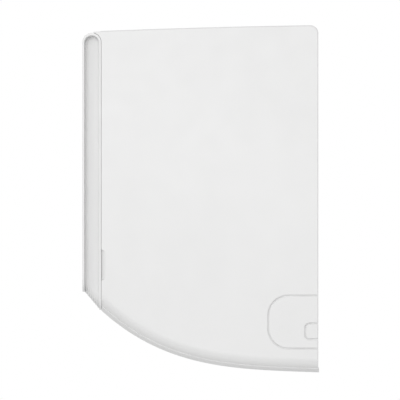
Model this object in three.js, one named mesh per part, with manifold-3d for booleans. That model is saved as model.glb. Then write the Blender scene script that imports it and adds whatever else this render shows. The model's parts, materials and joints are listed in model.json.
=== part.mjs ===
// Indoor unit of a wall-mounted split air conditioner, closed and at rest on its wall plate.
// Millimetres. +X is to the right as one faces the unit, -Y is the front, the wall is the plane y = 0.
// Inside this file a height h is measured up from the lowest point of the belly; the assembly group
// lowers everything by half the unit's height, so the origin is the middle of the wall plate's back.

import * as THREE from 'three';
import { mergeVertices } from 'three/addons/utils/BufferGeometryUtils.js';
import Module from 'manifold-3d';

const wasm = await Module();
wasm.setup();

// ---------------------------------------------------------------- driving dimensions

const LENGTH = 837;
const HEIGHT = 293;
const END_X = LENGTH / 2;
const WALL = 2.4;                 // usual moulded wall
const SEAM = 0.8;                 // gap round the louver
const PANEL_GAP = 0.4;            // gap between the front panel and the body
const GAP = 0.3;                  // clearance between fixed neighbours

const BODY_FRONT_Y = -183.6;
const BODY_REAR_Y = -0.8;
const TOP_REAR_H = 293.3;
const REAR_CORNER_R = 6.7;
const NOSE_TIP_Y = -188.5;

const BELLY_DEPTH = 183;          // depth over which the belly curve is defined
const BELLY_RISE_LINEAR = 6.5;
const BELLY_RISE_CURVED = 45.2;
const BELLY_POWER = 3.48;
const SHELL_THICKNESS = 3.7;
const COVER_OFFSET = 4.0;         // side cover's lower edge above the belly's outer face

const PANEL_FRONT_Y = -199.9;
const PANEL_REAR_Y = -184.0;
const PANEL_WALL = 1.9;
const PANEL_R = (PANEL_REAR_Y - PANEL_FRONT_Y) / 2;
const PANEL_AXIS_Y = PANEL_FRONT_Y + PANEL_R;
const PANEL_AXIS_H = 278.9;
const PANEL_FRONT_LIP_H = 68.3;
const PANEL_REAR_LIP_H = 53.1;
const PANEL_POCKET = 8;           // how far the end caps are set back
const PANEL_RIBS = 7;

const COVER_WIDTH = 14;           // side cover, measured along X
const COVER_FACE = 2.8;
const COVER_ROLL = 7.6;           // radius of the side cover's rounded lower edge
const SHELL_CHAMFER = 5.6;
const FRAME_X = END_X - COVER_WIDTH - GAP;

const PLATE_X = 352;              // inner face of the chassis end walls
const END_WALL = 3;
const OUTLET_X = 350;
const FAN_Y = -88;
const FAN_H = 98;
const FAN_R = 46;

const LOUVER_FOOT_Y = -104;
const LOUVER_BEAD_R = 7;
const LOUVER_FRONT_Y = -174;
const LOUVER_X = OUTLET_X - SEAM;
const LOUVER_REAR_GAP = 5.5;      // room behind the louver's foot for its face as it swings down

const VANES_PER_SIDE = 6;
const VANE_PITCH = 54;
const VANE_FIRST_X = 33;
const VANE_THICKNESS = 1.6;
const VANE_BASE = [-84, 31.8];    // where the vane axes meet the duct floor
const DUCT_DOWN = [-0.84, -0.5426];  // direction of the air flow in the duct, in Y and Z
const CRANK_D = 22;               // crank peg's distance from the vane axis
const VANE_TOP_N = 50;

// ---------------------------------------------------------------- materials

function plastic(colour, roughness) {
  return new THREE.MeshStandardMaterial({ color: colour, roughness, metalness: 0 });
}

function metal(colour, roughness) {
  return new THREE.MeshStandardMaterial({ color: colour, roughness, metalness: 1 });
}

const whiteShell = () => plastic(0xf1f1f0, 0.42);
const innerPlastic = () => plastic(0xe4e4e2, 0.6);
const blackPlastic = () => plastic(0x2a2b2d, 0.55);
const smokedLens = () => plastic(0x3c3f42, 0.12);
const netPlastic = () => plastic(0x8f959b, 0.7);
const foamRubber = () => plastic(0x202122, 0.85);
const boardGreen = () => plastic(0x1f6b45, 0.5);
const hosePlastic = () => plastic(0xd9d9d4, 0.5);
const galvanised = () => metal(0xb9bcbe, 0.4);
const aluminiumFin = () => metal(0xcfd3d6, 0.35);
const copper = () => metal(0xb87345, 0.3);
const brass = () => metal(0xc2a14e, 0.3);
const screwSteel = () => metal(0xc8cacc, 0.3);

// ---------------------------------------------------------------- solids and placing

function toSolid(geometry) {
  const bare = geometry.clone();
  bare.deleteAttribute('normal');
  bare.deleteAttribute('uv');
  const merged = mergeVertices(bare, 1e-4);
  const vertProperties = new Float32Array(merged.attributes.position.array);
  const triVerts = new Uint32Array(merged.index.array);
  return new wasm.Manifold(new wasm.Mesh({ numProp: 3, vertProperties, triVerts }));
}

function toGeometry(solid) {
  const mesh = solid.getMesh();
  const geometry = new THREE.BufferGeometry();
  geometry.setAttribute('position', new THREE.BufferAttribute(mesh.vertProperties, 3));
  geometry.setIndex(new THREE.BufferAttribute(mesh.triVerts, 1));
  geometry.computeVertexNormals();
  return geometry;
}

function joined(...solids) {
  return solids.reduce((sum, next) => sum.add(next));
}

function cut(solid, ...tools) {
  return tools.reduce((rest, tool) => rest.subtract(tool), solid);
}

// a block between two corners
function block(x0, x1, y0, y1, h0, h1) {
  const geometry = new THREE.BoxGeometry(x1 - x0, y1 - y0, h1 - h0);
  geometry.translate((x0 + x1) / 2, (y0 + y1) / 2, (h0 + h1) / 2);
  return toSolid(geometry);
}

// an outline in the (y, h) plane drawn out from x0 to x1
function prism(points, x0, x1) {
  const shape = new THREE.Shape(points.map(([y, h]) => new THREE.Vector2(y, h)));
  const geometry = new THREE.ExtrudeGeometry(shape, { depth: x1 - x0, bevelEnabled: false });
  const turned = new THREE.Matrix4().set(0, 0, 1, x0, 1, 0, 0, 0, 0, 1, 0, 0, 0, 0, 0, 1);
  geometry.applyMatrix4(turned);
  return toSolid(geometry);
}

// a round bar along X
function barX(x0, x1, y, h, radius, sides = 16) {
  const geometry = new THREE.CylinderGeometry(radius, radius, x1 - x0, sides);
  geometry.rotateZ(Math.PI / 2);
  geometry.translate((x0 + x1) / 2, y, h);
  return toSolid(geometry);
}

// a round bar along Y
function barY(y0, y1, x, h, radius, sides = 12) {
  const geometry = new THREE.CylinderGeometry(radius, radius, y1 - y0, sides);
  geometry.translate(x, (y0 + y1) / 2, h);
  return toSolid(geometry);
}

// a tube of solid section through a list of points
function tube(points, radius, sides, steps) {
  const places = points.map((p) => new THREE.Vector3(...p));
  const route = new THREE.CatmullRomCurve3(places, false, 'centripetal');
  const section = new THREE.Shape();
  for (let i = 0; i < sides; i += 1) {
    const angle = (i / sides) * 2 * Math.PI;
    const at = [radius * Math.cos(angle), radius * Math.sin(angle)];
    if (i === 0) section.moveTo(...at);
    else section.lineTo(...at);
  }
  section.closePath();
  return toSolid(new THREE.ExtrudeGeometry(section, { steps, extrudePath: route, bevelEnabled: false }));
}

// points on an arc in the (y, h) plane, angles in degrees from +Y towards up
function arc(y, h, radius, from, to, count) {
  const points = [];
  for (let i = 0; i <= count; i += 1) {
    const angle = THREE.MathUtils.degToRad(from + ((to - from) * i) / count);
    points.push([y + radius * Math.cos(angle), h + radius * Math.sin(angle)]);
  }
  return points;
}

// evenly spaced values from first to last
function spaced(first, last, count) {
  return Array.from({ length: count + 1 }, (_, i) => first + ((last - first) * i) / count);
}

// two X values on one side of the unit, lower one first
function span(side, a, b) {
  return [side * a, side * b].sort((low, high) => low - high);
}

// a sheet of even thickness along a line of points in the (y, h) plane
function ribbon(line, thickness) {
  const side = (sign) => line.map(([y, h], i) => {
    const before = line[Math.max(i - 1, 0)];
    const after = line[Math.min(i + 1, line.length - 1)];
    const into = new THREE.Vector2(y - before[0], h - before[1]).normalize();
    const out = new THREE.Vector2(after[0] - y, after[1] - h).normalize();
    const along = into.clone().add(out).normalize();
    const longest = into.lengthSq() > 0 ? into : out;
    const stretch = (sign * thickness) / 2 / Math.max(along.dot(longest), 0.5);
    return [y - along.y * stretch, h + along.x * stretch];
  });
  return [...side(1), ...side(-1).reverse()];
}

// ---------------------------------------------------------------- the unit's outline

function bellyHeight(y) {
  const u = -y / BELLY_DEPTH;
  return BELLY_RISE_LINEAR * u + BELLY_RISE_CURVED * u ** BELLY_POWER;
}

// the belly's slope at a depth
function bellySlope(y) {
  const u = -y / BELLY_DEPTH;
  return -(BELLY_RISE_LINEAR + BELLY_RISE_CURVED * BELLY_POWER * u ** (BELLY_POWER - 1)) / BELLY_DEPTH;
}

// a point inside the belly's outer face, by a distance measured square to it
function bellyPoint(y, inset = 0) {
  const slope = bellySlope(y);
  const long = Math.hypot(1, slope);
  return [y - (slope * inset) / long, bellyHeight(y) + inset / long];
}

// the height at a depth of the curve that lies that far inside the belly's outer face
function aboveBelly(y, inset) {
  return bellyHeight(y) + inset * Math.hypot(1, bellySlope(y));
}

function topHeight(y) {
  const s = -REAR_CORNER_R - 1 - y;
  return TOP_REAR_H - 0.01476 * s - 0.000072 * s * s;
}

// the outline of the body's top and front, from the rear edge over the nose to the front face
function topOutline() {
  const corner = arc(BODY_REAR_Y - REAR_CORNER_R, TOP_REAR_H - REAR_CORNER_R, REAR_CORNER_R, 0, 90, 5);
  const slope = spaced(-60, -180, 3).map((y) => [y, topHeight(y)]);
  const nose = [[NOSE_TIP_Y, topHeight(NOSE_TIP_Y) - 0.4]];
  const clearance = PANEL_R + PANEL_GAP;
  const tipAngle = THREE.MathUtils.radToDeg(Math.acos((NOSE_TIP_Y - PANEL_AXIS_Y) / clearance));
  const under = arc(PANEL_AXIS_Y, PANEL_AXIS_H, clearance, tipAngle, 0, 6);
  return [...corner, ...slope, ...nose, ...under];
}

// the whole side view of the body; lift raises the lower edge for the rounded bottom
function bodyOutline(lift = 0) {
  const inset = COVER_OFFSET + lift;
  const bottom = spaced(BODY_FRONT_Y, BODY_REAR_Y, 11).map((y) => [y, aboveBelly(y, inset)]);
  return [...topOutline(), ...bottom];
}

// ---------------------------------------------------------------- outer shells

const LOUVER_AXIS = bellyPoint(LOUVER_FOOT_Y, LOUVER_BEAD_R);

// a solid whose cross-sections along X are anticlockwise outlines with the same number of points
function loft(sections) {
  const count = sections[0].points.length;
  const positions = sections.flatMap(({ x, points }) => points.flatMap(([y, h]) => [x, y, h]));
  const first = sections[0].points.map(([y, h]) => new THREE.Vector2(y, h));
  const caps = THREE.ShapeUtils.triangulateShape(first, []);
  const index = [];
  const face = (a, b, c) => index.push(a, b, c);
  const last = (sections.length - 1) * count;
  for (const [a, b, c] of caps) {
    face(c, b, a);
    face(last + a, last + b, last + c);
  }
  for (let s = 0; s < sections.length - 1; s += 1) {
    for (let i = 0; i < count; i += 1) {
      const here = s * count + i;
      const next = s * count + ((i + 1) % count);
      face(here, next, here + count);
      face(next, next + count, here + count);
    }
  }
  const geometry = new THREE.BufferGeometry();
  geometry.setAttribute('position', new THREE.Float32BufferAttribute(positions, 3));
  geometry.setIndex(index);
  return toSolid(geometry);
}

// the closed line of a break-out, open towards the wall
function breakOut(frontY, lowH, highH, radius) {
  const width = 1.3;
  const outline = (grow) => {
    const r = radius + grow;
    return [
      [1, lowH - grow],
      [1, highH + grow],
      ...arc(frontY + radius, highH - radius, r, 90, 180, 6),
      ...arc(frontY + radius, lowH + radius, r, 180, 270, 6),
    ];
  };
  const deep = 0.8;
  const outer = prism(outline(width / 2), END_X - deep, END_X + 1);
  return outer.subtract(prism(outline(-width / 2), END_X - 2 * deep, END_X + 2));
}

// the shallow notch behind the panel's lower end where a fingertip lifts it
function fingerNotch() {
  const y = BODY_FRONT_Y;
  const [low, high] = [78, 104];
  const depth = 3.4;
  const sunk = 1.8;
  const outline = [[y - 1, low - 1], ...arc(y, low + depth, depth, 270, 360, 4),
    ...arc(y, high - depth, depth, 0, 90, 4), [y - 1, high + 1]];
  return prism(outline, END_X - sunk, END_X + 1);
}

function sideCover() {
  const sections = [{ x: END_X - COVER_WIDTH, points: bodyOutline() }];
  for (let i = 0; i <= 4; i += 1) {
    const angle = (i / 4) * (Math.PI / 2);
    const x = END_X - COVER_ROLL * (1 - Math.sin(angle));
    sections.push({ x, points: bodyOutline(COVER_ROLL * (1 - Math.cos(angle))) });
  }
  const frontInset = 6;
  const floor = COVER_OFFSET + COVER_ROLL + WALL;
  const inner = [
    [BODY_REAR_Y - WALL, 280],
    [BODY_REAR_Y - REAR_CORNER_R, topHeight(-10) - WALL],
    [BODY_FRONT_Y + frontInset + 4, topHeight(BODY_FRONT_Y) - 2 * WALL],
    [BODY_FRONT_Y + frontInset, 274],
    ...spaced(BODY_FRONT_Y + frontInset, BODY_REAR_Y - WALL, 7).map((y) => [y, aboveBelly(y, floor)]),
  ];
  const pocket = prism(inner, END_X - COVER_WIDTH - 1, END_X - COVER_FACE);
  const lines = [breakOut(-43.1, 20.6, 65.3, 17), breakOut(-12, 28.5, 41.8, 4)];
  return cut(loft(sections), pocket, fingerNotch(), ...lines);
}

// the belly: a curved sheet from the wall to the panel, open where the louver closes it and
// drawn in at both ends to carry on the side covers' rounded edge
function lowerShell() {
  const steps = 15;
  const inner = spaced(0, BODY_FRONT_Y, steps).map((y) => [y, aboveBelly(y, SHELL_THICKNESS)]);
  const section = (lift) => {
    const outer = spaced(BODY_FRONT_Y, 0, steps).map((y) => [y, aboveBelly(y, lift)]);
    return [...outer, ...inner];
  };
  const endX = END_X - COVER_ROLL;
  const flatX = endX - SHELL_CHAMFER;
  const thin = SHELL_THICKNESS - 0.7;
  const sheet = loft([
    { x: -endX, points: section(thin) },
    { x: -flatX, points: section(0) },
    { x: flatX, points: section(0) },
    { x: endX, points: section(thin) },
  ]);
  const rearEdge = LOUVER_FOOT_Y + LOUVER_REAR_GAP;
  const opening = block(-OUTLET_X, OUTLET_X, LOUVER_FRONT_Y - SEAM, rearEdge, -5, 60);
  const beadRoom = barX(-OUTLET_X, OUTLET_X, ...LOUVER_AXIS, LOUVER_BEAD_R + SEAM, 24);
  return cut(sheet, opening, beadRoom);
}

// ---------------------------------------------------------------- front frame and top grille

const WINDOW_X = 392;
const WINDOW_LOW = 88;
const WINDOW_HIGH = 268;
const GRILLE_FRONT_Y = -160;
const GRILLE_REAR_Y = -28;
const SCREW_X = 375;
const SCREW_H = 66;
const BUTTON_X = 385;
const BUTTON_H = 80;
const HINGE_ARM_X = 380;

function hingeArm(side) {
  const x0 = side * HINGE_ARM_X - 4;
  const x1 = side * HINGE_ARM_X + 4;
  const half = 2.2;
  const stem = block(x0, x1, PANEL_AXIS_Y, BODY_FRONT_Y + 1, PANEL_AXIS_H - half, PANEL_AXIS_H + half);
  const eye = barX(x0, x1, PANEL_AXIS_Y, PANEL_AXIS_H, half + 0.6, 16);
  return stem.add(eye);
}

function frontFrame() {
  const outer = topOutline();
  const inFront = BODY_FRONT_Y + WALL;
  const inRear = BODY_REAR_Y - WALL;
  const [frontFoot, rearFoot] = [57.6, 276];
  const underTop = spaced(inFront + 1, BODY_REAR_Y - REAR_CORNER_R, 4);
  const inner = [
    [BODY_FRONT_Y, frontFoot],
    [inFront, frontFoot],
    [inFront, 284.5],
    ...underTop.map((y) => [y, topHeight(y) - WALL]),
    [inRear, TOP_REAR_H - REAR_CORNER_R],
    [inRear, rearFoot],
    [BODY_REAR_Y, rearFoot],
  ];
  const shell = prism([...outer, ...inner], -FRAME_X, FRAME_X);
  const bosses = [-1, 1].map((s) => barY(BODY_FRONT_Y + 1, BODY_FRONT_Y + 10, s * SCREW_X, SCREW_H, 7));
  const arms = [-1, 1].map(hingeArm);
  const windows = [-1, 1].map((s) => {
    const [x0, x1] = s < 0 ? [-WINDOW_X, -6] : [6, WINDOW_X];
    return block(x0, x1, BODY_FRONT_Y - 1, BODY_FRONT_Y + WALL + 1, WINDOW_LOW, WINDOW_HIGH);
  });
  const top = block(-WINDOW_X, WINDOW_X, GRILLE_FRONT_Y, GRILLE_REAR_Y, 275, 300);
  const holes = [-1, 1].flatMap((s) => [
    barY(BODY_FRONT_Y - 1, BODY_FRONT_Y + 4, s * SCREW_X, SCREW_H, 4.6),
    barY(BODY_FRONT_Y - 1, BODY_FRONT_Y + 12, s * SCREW_X, SCREW_H, 2.2),
    barX(s * HINGE_ARM_X - 5, s * HINGE_ARM_X + 5, PANEL_AXIS_Y, PANEL_AXIS_H, 1.5, 12),
  ]);
  const buttonHole = barY(BODY_FRONT_Y - 1, BODY_FRONT_Y + 4, BUTTON_X, BUTTON_H, 4.4);
  return cut(joined(shell, ...bosses, ...arms), ...windows, top, ...holes, buttonHole);
}

function topGrille() {
  const gap = GAP + 0.2;
  const [front, rear] = [GRILLE_FRONT_Y + gap, GRILLE_REAR_Y - gap];
  const thick = 4;
  const upper = spaced(rear, front, 4).map((y) => [y, topHeight(y)]);
  const lower = spaced(front, rear, 4).map((y) => [y, topHeight(y) - thick]);
  const edge = WINDOW_X - gap;
  const sheet = prism([...upper, ...lower], -edge, edge);
  const rows = 8;
  const columns = 4;
  const pitchY = (rear - front - 5) / rows;
  const pitchX = (2 * edge - 5) / columns;
  const slots = [];
  for (let row = 0; row < rows; row += 1) {
    for (let column = 0; column < columns; column += 1) {
      const y = front + 4 + row * pitchY;
      const x = -edge + 5 + column * pitchX;
      slots.push(block(x, x + pitchX - 5, y, y + pitchY - 3, 270, 300));
    }
  }
  return cut(sheet, ...slots);
}

function frameScrew() {
  const head = barY(BODY_FRONT_Y + 1, BODY_FRONT_Y + 3.4, 0, 0, 4, 16);
  const shank = barY(BODY_FRONT_Y + 3, BODY_FRONT_Y + 15, 0, 0, 1.8, 8);
  const slot = 1.1;
  const cross = joined(
    block(-2.6, 2.6, BODY_FRONT_Y, BODY_FRONT_Y + 2.2, -slot / 2, slot / 2),
    block(-slot / 2, slot / 2, BODY_FRONT_Y, BODY_FRONT_Y + 2.2, -2.6, 2.6),
  );
  return cut(joined(head, shank), cross);
}

// ---------------------------------------------------------------- hinged front panel

const CAP_X = END_X - PANEL_POCKET;
const CAP_THICKNESS = 3;
const DISPLAY_X = [300, 360];
const DISPLAY_H = [96, 112];

function panelOuter() {
  const crown = arc(PANEL_AXIS_Y, PANEL_AXIS_H, PANEL_R, 180, 0, 12);
  const rib = 0.7;
  const from = [PANEL_REAR_Y - 2.4, PANEL_REAR_LIP_H + 1.4];
  const to = [PANEL_FRONT_Y + 1.7, PANEL_FRONT_LIP_H];
  const length = Math.hypot(to[0] - from[0], to[1] - from[1]);
  const square = [-(to[1] - from[1]) / length, (to[0] - from[0]) / length];
  const ribbed = [];
  for (let i = 0; i < PANEL_RIBS; i += 1) {
    for (const [part, out] of [[0.1, 0], [0.35, rib], [0.65, rib], [0.9, 0]]) {
      const t = (i + part) / PANEL_RIBS;
      const y = from[0] + (to[0] - from[0]) * t + square[0] * out;
      ribbed.push([y, from[1] + (to[1] - from[1]) * t + square[1] * out]);
    }
  }
  return [
    ...crown,
    [PANEL_REAR_Y, PANEL_REAR_LIP_H],
    [PANEL_REAR_Y - 2.4, PANEL_REAR_LIP_H],
    ...ribbed,
    [PANEL_FRONT_Y + 1.7, PANEL_FRONT_LIP_H],
    [PANEL_FRONT_Y, PANEL_FRONT_LIP_H],
  ];
}

function panelInner(inset = 0) {
  const wall = PANEL_WALL + inset;
  return [
    ...arc(PANEL_AXIS_Y, PANEL_AXIS_H, PANEL_R - wall, 180, 0, 10),
    [PANEL_REAR_Y - wall, PANEL_REAR_LIP_H + 4.7 + inset * 1.2],
    [PANEL_FRONT_Y + wall, PANEL_FRONT_LIP_H + 3.1 + inset * 1.8],
  ];
}

// the shallow recess in each end of the panel, open at the foot
function endRecess(side) {
  const [rearEdge, frontEdge] = panelInner().slice(-2);
  const below = 12;
  const crown = panelInner().slice(0, -2);
  const outline = [...crown, [rearEdge[0], rearEdge[1] - below], [frontEdge[0], frontEdge[1] - below]];
  return prism(outline, ...span(side, CAP_X, END_X + 1));
}

function frontPanel() {
  const solidPanel = prism(panelOuter(), -END_X, END_X);
  const hollow = prism(panelInner(), -CAP_X - 1, CAP_X + 1);
  const recesses = [-1, 1].map(endRecess);
  const armSlots = [-1, 1].map((s) => {
    const x = s * HINGE_ARM_X;
    return block(x - 5.5, x + 5.5, PANEL_AXIS_Y + 1.15, -182, PANEL_AXIS_H - 2.9, 290);
  });
  const window = block(...DISPLAY_X, PANEL_FRONT_Y - 1, PANEL_FRONT_Y + PANEL_WALL + 1, ...DISPLAY_H);
  return cut(solidPanel, hollow, ...recesses, ...armSlots, window);
}

function panelEndCap(side) {
  const xs = span(side, CAP_X, CAP_X - CAP_THICKNESS);
  return prism(panelInner(GAP), ...xs);
}

function hingePin(side) {
  const xs = span(side, CAP_X - CAP_THICKNESS - GAP, HINGE_ARM_X - 7);
  return barX(...xs, PANEL_AXIS_Y, PANEL_AXIS_H, 1.2, 12);
}

function displayWindow() {
  const [x0, x1] = DISPLAY_X;
  const [h0, h1] = DISPLAY_H;
  const front = PANEL_FRONT_Y;
  const back = front + PANEL_WALL;
  const rim = 2;
  const lens = block(x0 + GAP, x1 - GAP, front + 0.2, back + 1, h0 + GAP, h1 - GAP);
  const flange = block(x0 - rim, x1 + rim, back + GAP, back + 1.5, h0 - rim, h1 + rim);
  return lens.add(flange);
}

// ---------------------------------------------------------------- chassis, tray and wall plate

const CHASSIS_X = 402;
const HOOK_X = 200;
const HOOK_H = 264;
const PLATE_EDGE_X = 300;
const PLATE_THICKNESS = 1.2;
const REAR_WALL_Y = -9;
const SPOUT = [-158, 73];
const GAS_PORT = [-64.5, 206];
const LIQUID_PORT = [-53.6, 190];

// the fan's scroll: a spiral round the back of the fan that runs into the duct floor
function scrollLine() {
  const turns = spaced(45, -75, 8).map((degrees) => {
    const angle = THREE.MathUtils.degToRad(degrees);
    const radius = 53 + 9 * ((45 - degrees) / 120) ** 2;
    return [FAN_Y + radius * Math.cos(angle), FAN_H + radius * Math.sin(angle)];
  });
  return [[-50.5, 145.5], ...turns, [-90.5, 24]];
}

function endWall(side) {
  const seat = SHELL_THICKNESS + 0.5;
  const bottom = [-172, -155, -138, -120, -104, -82, -60].map((y) => [y, aboveBelly(y, seat)]);
  const back = [[-34, 60], [-34, 143], [REAR_WALL_Y, 150], [REAR_WALL_Y, 267], [-140, 267], [-172, 225]];
  const xs = span(side, PLATE_X, PLATE_X + END_WALL);
  const [low, high] = [xs[0] - 1, xs[1] + 1];
  const holes = [
    barX(low, high, FAN_Y, FAN_H, 14, 20),
    barX(low, high, ...LOUVER_AXIS, 2.4, 12),
    barX(low, high, ...SPOUT, 6.6, 16),
  ];
  if (side > 0) {
    holes.push(barX(low, high, ...GAS_PORT, 8, 12), barX(low, high, ...LIQUID_PORT, 5.6, 12));
  }
  return cut(prism([...bottom, ...back], ...xs), ...holes);
}

function rearChassis() {
  const line = [[-60, 155], [-57, 147.3], [-14, 147.3], [REAR_WALL_Y, 152], [REAR_WALL_Y, 285]];
  const backWall = prism(ribbon(line, WALL), -CHASSIS_X, CHASSIS_X);
  const slots = [-1, 1].map((s) => {
    const x = s * HOOK_X;
    return block(x - 11, x + 11, REAR_WALL_Y - 3, REAR_WALL_Y + 3, HOOK_H - 4, HOOK_H + 9);
  });
  const pipeWay = block(357, 386, -50, -14, 140, 151);
  return cut(joined(backWall, endWall(-1), endWall(1)), ...slots, pipeWay);
}

function fanScroll() {
  return prism(ribbon(scrollLine(), WALL), -PLATE_X + GAP, PLATE_X - GAP);
}

// condensate trough, stabiliser beside the fan and upper wall of the duct in one moulding
function drainTray() {
  const section = [
    [-178.6, 96], [-178.6, 60], [-175.5, 54.5], [-139, 74], [-136.5, 77], [-139.3, 95],
    [-141.3, 95], [-143.5, 83], [-172, 81], [-176.4, 84], [-176.4, 96],
  ];
  const trough = prism(section, -345, 345);
  const spouts = [-1, 1].map((s) => {
    const xs = span(s, 344, 362);
    return barX(...xs, ...SPOUT, 6, 16);
  });
  const bores = [-1, 1].map((s) => {
    const xs = span(s, 330, 363);
    return barX(...xs, ...SPOUT, 4, 12);
  });
  const drops = [-1, 1].map((s) => block(s * 336 - 4, s * 336 + 4, -161, -155, 72, 83));
  return cut(joined(trough, ...spouts), ...bores, ...drops);
}

function mountingPlate() {
  const corner = 18;
  const [low, high] = [96, 262];
  const outline = new THREE.Shape();
  outline.moveTo(-PLATE_EDGE_X + corner, low);
  outline.lineTo(PLATE_EDGE_X - corner, low);
  outline.lineTo(PLATE_EDGE_X, low + corner);
  outline.lineTo(PLATE_EDGE_X, high - corner);
  outline.lineTo(PLATE_EDGE_X - corner, high);
  outline.lineTo(-PLATE_EDGE_X + corner, high);
  outline.lineTo(-PLATE_EDGE_X, high - corner);
  outline.lineTo(-PLATE_EDGE_X, low + corner);
  outline.closePath();
  const sheet = new THREE.ExtrudeGeometry(outline, { depth: PLATE_THICKNESS, bevelEnabled: false });
  sheet.rotateX(Math.PI / 2);
  const back = -PLATE_THICKNESS / 2;
  const hooks = [-1, 1].map((s) => {
    const x = s * HOOK_X;
    const tongue = block(x - 9, x + 9, -15, back, HOOK_H - 3, HOOK_H - 0.5);
    const upstand = block(x - 9, x + 9, -15, -12.8, HOOK_H - 3, HOOK_H + 7);
    return tongue.add(upstand);
  });
  const clips = [-1, 1].map((s) => block(s * 240 - 8, s * 240 + 8, -6, back, low - 4, low + 1));
  const screwHoles = [];
  for (const x of [-270, -135, 135, 270]) {
    for (const h of [low + 24, (low + high) / 2, high - 24]) {
      screwHoles.push(barY(-3, 1, x, h, 3.2, 8));
    }
  }
  return cut(joined(toSolid(sheet), ...hooks, ...clips), ...screwHoles);
}

// ---------------------------------------------------------------- coil, fan and their mounts

const COIL_X = 336.5;
const TUBE_R = 3.5;
const BEND_R = 9.5;

// one hairpin's return bend, standing out of a coil's end face
function returnBend(side, y, h, angle) {
  const across = [Math.cos(angle), Math.sin(angle)];
  const points = [];
  for (let i = 0; i <= 6; i += 1) {
    const turn = (i / 6) * Math.PI;
    const off = BEND_R * Math.cos(turn);
    const out = COIL_X - 1 + (BEND_R - TUBE_R / 2 + 1) * Math.sin(turn);
    points.push([side * out, y + across[0] * off, h + across[1] * off]);
  }
  return tube(points, TUBE_R - 0.6, 6, 6);
}

// a finned block between two ends of its centre line, with its return bends
function coil(low, high, bendPlaces) {
  const thick = 22;
  const length = Math.hypot(high[0] - low[0], high[1] - low[1]);
  const along = [(high[0] - low[0]) / length, (high[1] - low[1]) / length];
  const off = [(-along[1] * thick) / 2, (along[0] * thick) / 2];
  const outline = [
    [low[0] + off[0], low[1] + off[1]],
    [low[0] - off[0], low[1] - off[1]],
    [high[0] - off[0], high[1] - off[1]],
    [high[0] + off[0], high[1] + off[1]],
  ];
  const angle = Math.atan2(along[1], along[0]);
  const bends = [-1, 1].flatMap((side) => bendPlaces.map((place) => {
    const y = low[0] + along[0] * place;
    const h = low[1] + along[1] * place;
    return returnBend(side, y, h, angle);
  }));
  return joined(prism(outline, -COIL_X, COIL_X), ...bends);
}

function crossflowFan() {
  const blades = 13;
  const [left, right] = [-343, 337];
  const discs = [left, -3, right].map((x) => barX(x, x + 3, FAN_Y, FAN_H, FAN_R, 26));
  const blade = (i) => {
    const start = (i / blades) * 360;
    const outer = arc(FAN_Y, FAN_H, FAN_R - 0.5, start, start + 5, 1);
    const middle = arc(FAN_Y, FAN_H, FAN_R - 6, start + 5, start + 10, 1);
    const inner = arc(FAN_Y, FAN_H, FAN_R - 12, start + 3, start + 7, 1);
    return prism([outer[0], outer[1], middle[1], inner[0]], left + 1, right + 2);
  };
  const hubRight = barX(right, right + 11, FAN_Y, FAN_H, 11, 20);
  const stub = barX(left - 16, left + 2, FAN_Y, FAN_H, 4, 12);
  const bore = barX(right - 2, right + 12, FAN_Y, FAN_H, 4.4, 16);
  const wheel = joined(...discs, ...Array.from({ length: blades }, (_, i) => blade(i)), hubRight, stub);
  return cut(wheel, bore);
}

function motorShaft() {
  return barX(338, 376, FAN_Y, FAN_H, 4, 16);
}

function fanBearing() {
  const ring = barX(-PLATE_X - 4, -PLATE_X + 1, FAN_Y, FAN_H, 13.6, 20);
  return ring.subtract(barX(-PLATE_X - 6, -PLATE_X + 3, FAN_Y, FAN_H, 4.4, 16));
}

function fanMotor() {
  const can = barX(359, 391, FAN_Y, FAN_H, 42, 28);
  const nose = barX(356, 360, FAN_Y, FAN_H, 12, 20);
  return joined(can, nose).subtract(barX(350, 378, FAN_Y, FAN_H, 4.6, 16));
}

function motorBracket() {
  const outline = [[-146, 62], [-40, 62], [-40, 104], [-54, 138], [-122, 138], [-146, 104]];
  const plate = prism(outline, 392, 394);
  const feet = [-144, -42].map((y) => block(356, 393, y - 2, y + 2, 62, 92));
  return cut(joined(plate, ...feet), barX(390, 396, FAN_Y, FAN_H, 22, 16));
}

// ---------------------------------------------------------------- louver and guide vanes

function mainLouver() {
  const outer = spaced(LOUVER_FOOT_Y, LOUVER_FRONT_Y, 8);
  const thickness = (i) => 2.6 + 10.6 * (1 - i / 8) ** 1.6;
  const inner = outer.map((y, i) => bellyPoint(y, thickness(i))).reverse();
  const blade = prism([...outer.map((y) => [y, bellyHeight(y)]), ...inner], -LOUVER_X, LOUVER_X);
  const bead = barX(-LOUVER_X, LOUVER_X, ...LOUVER_AXIS, LOUVER_BEAD_R, 20);
  const pins = barX(-357.5, 357.5, ...LOUVER_AXIS, 2, 12);
  return joined(blade, bead, pins);
}

function louverMotor() {
  const offset = 8;
  const slope = bellySlope(LOUVER_FOOT_Y);
  const long = Math.hypot(1, slope);
  const y = LOUVER_AXIS[0] - (slope * offset) / long;
  const h = LOUVER_AXIS[1] + offset / long;
  const can = barX(361, 377, y, h, 11, 24);
  const ears = block(361, 362.5, y - 15, y + 15, h - 3, h + 3);
  const nose = barX(358.5, 362, ...LOUVER_AXIS, 3, 12);
  return joined(can, ears, nose);
}

// a place in the duct: d along the flow and n square to it, from the vane axes' feet
function inDuct(d, n) {
  const [downY, downH] = DUCT_DOWN;
  return [VANE_BASE[0] + downY * d + downH * n, VANE_BASE[1] + downH * d - downY * n];
}

// a round bar square to the flow
function barInDuct(x, d, n0, n1, radius, sides) {
  const geometry = new THREE.CylinderGeometry(radius, radius, n1 - n0, sides);
  geometry.rotateX(Math.PI / 2 + Math.atan2(-DUCT_DOWN[1], -DUCT_DOWN[0]));
  const [y, h] = inDuct(d, (n0 + n1) / 2);
  geometry.translate(x, y, h);
  return toSolid(geometry);
}

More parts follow.
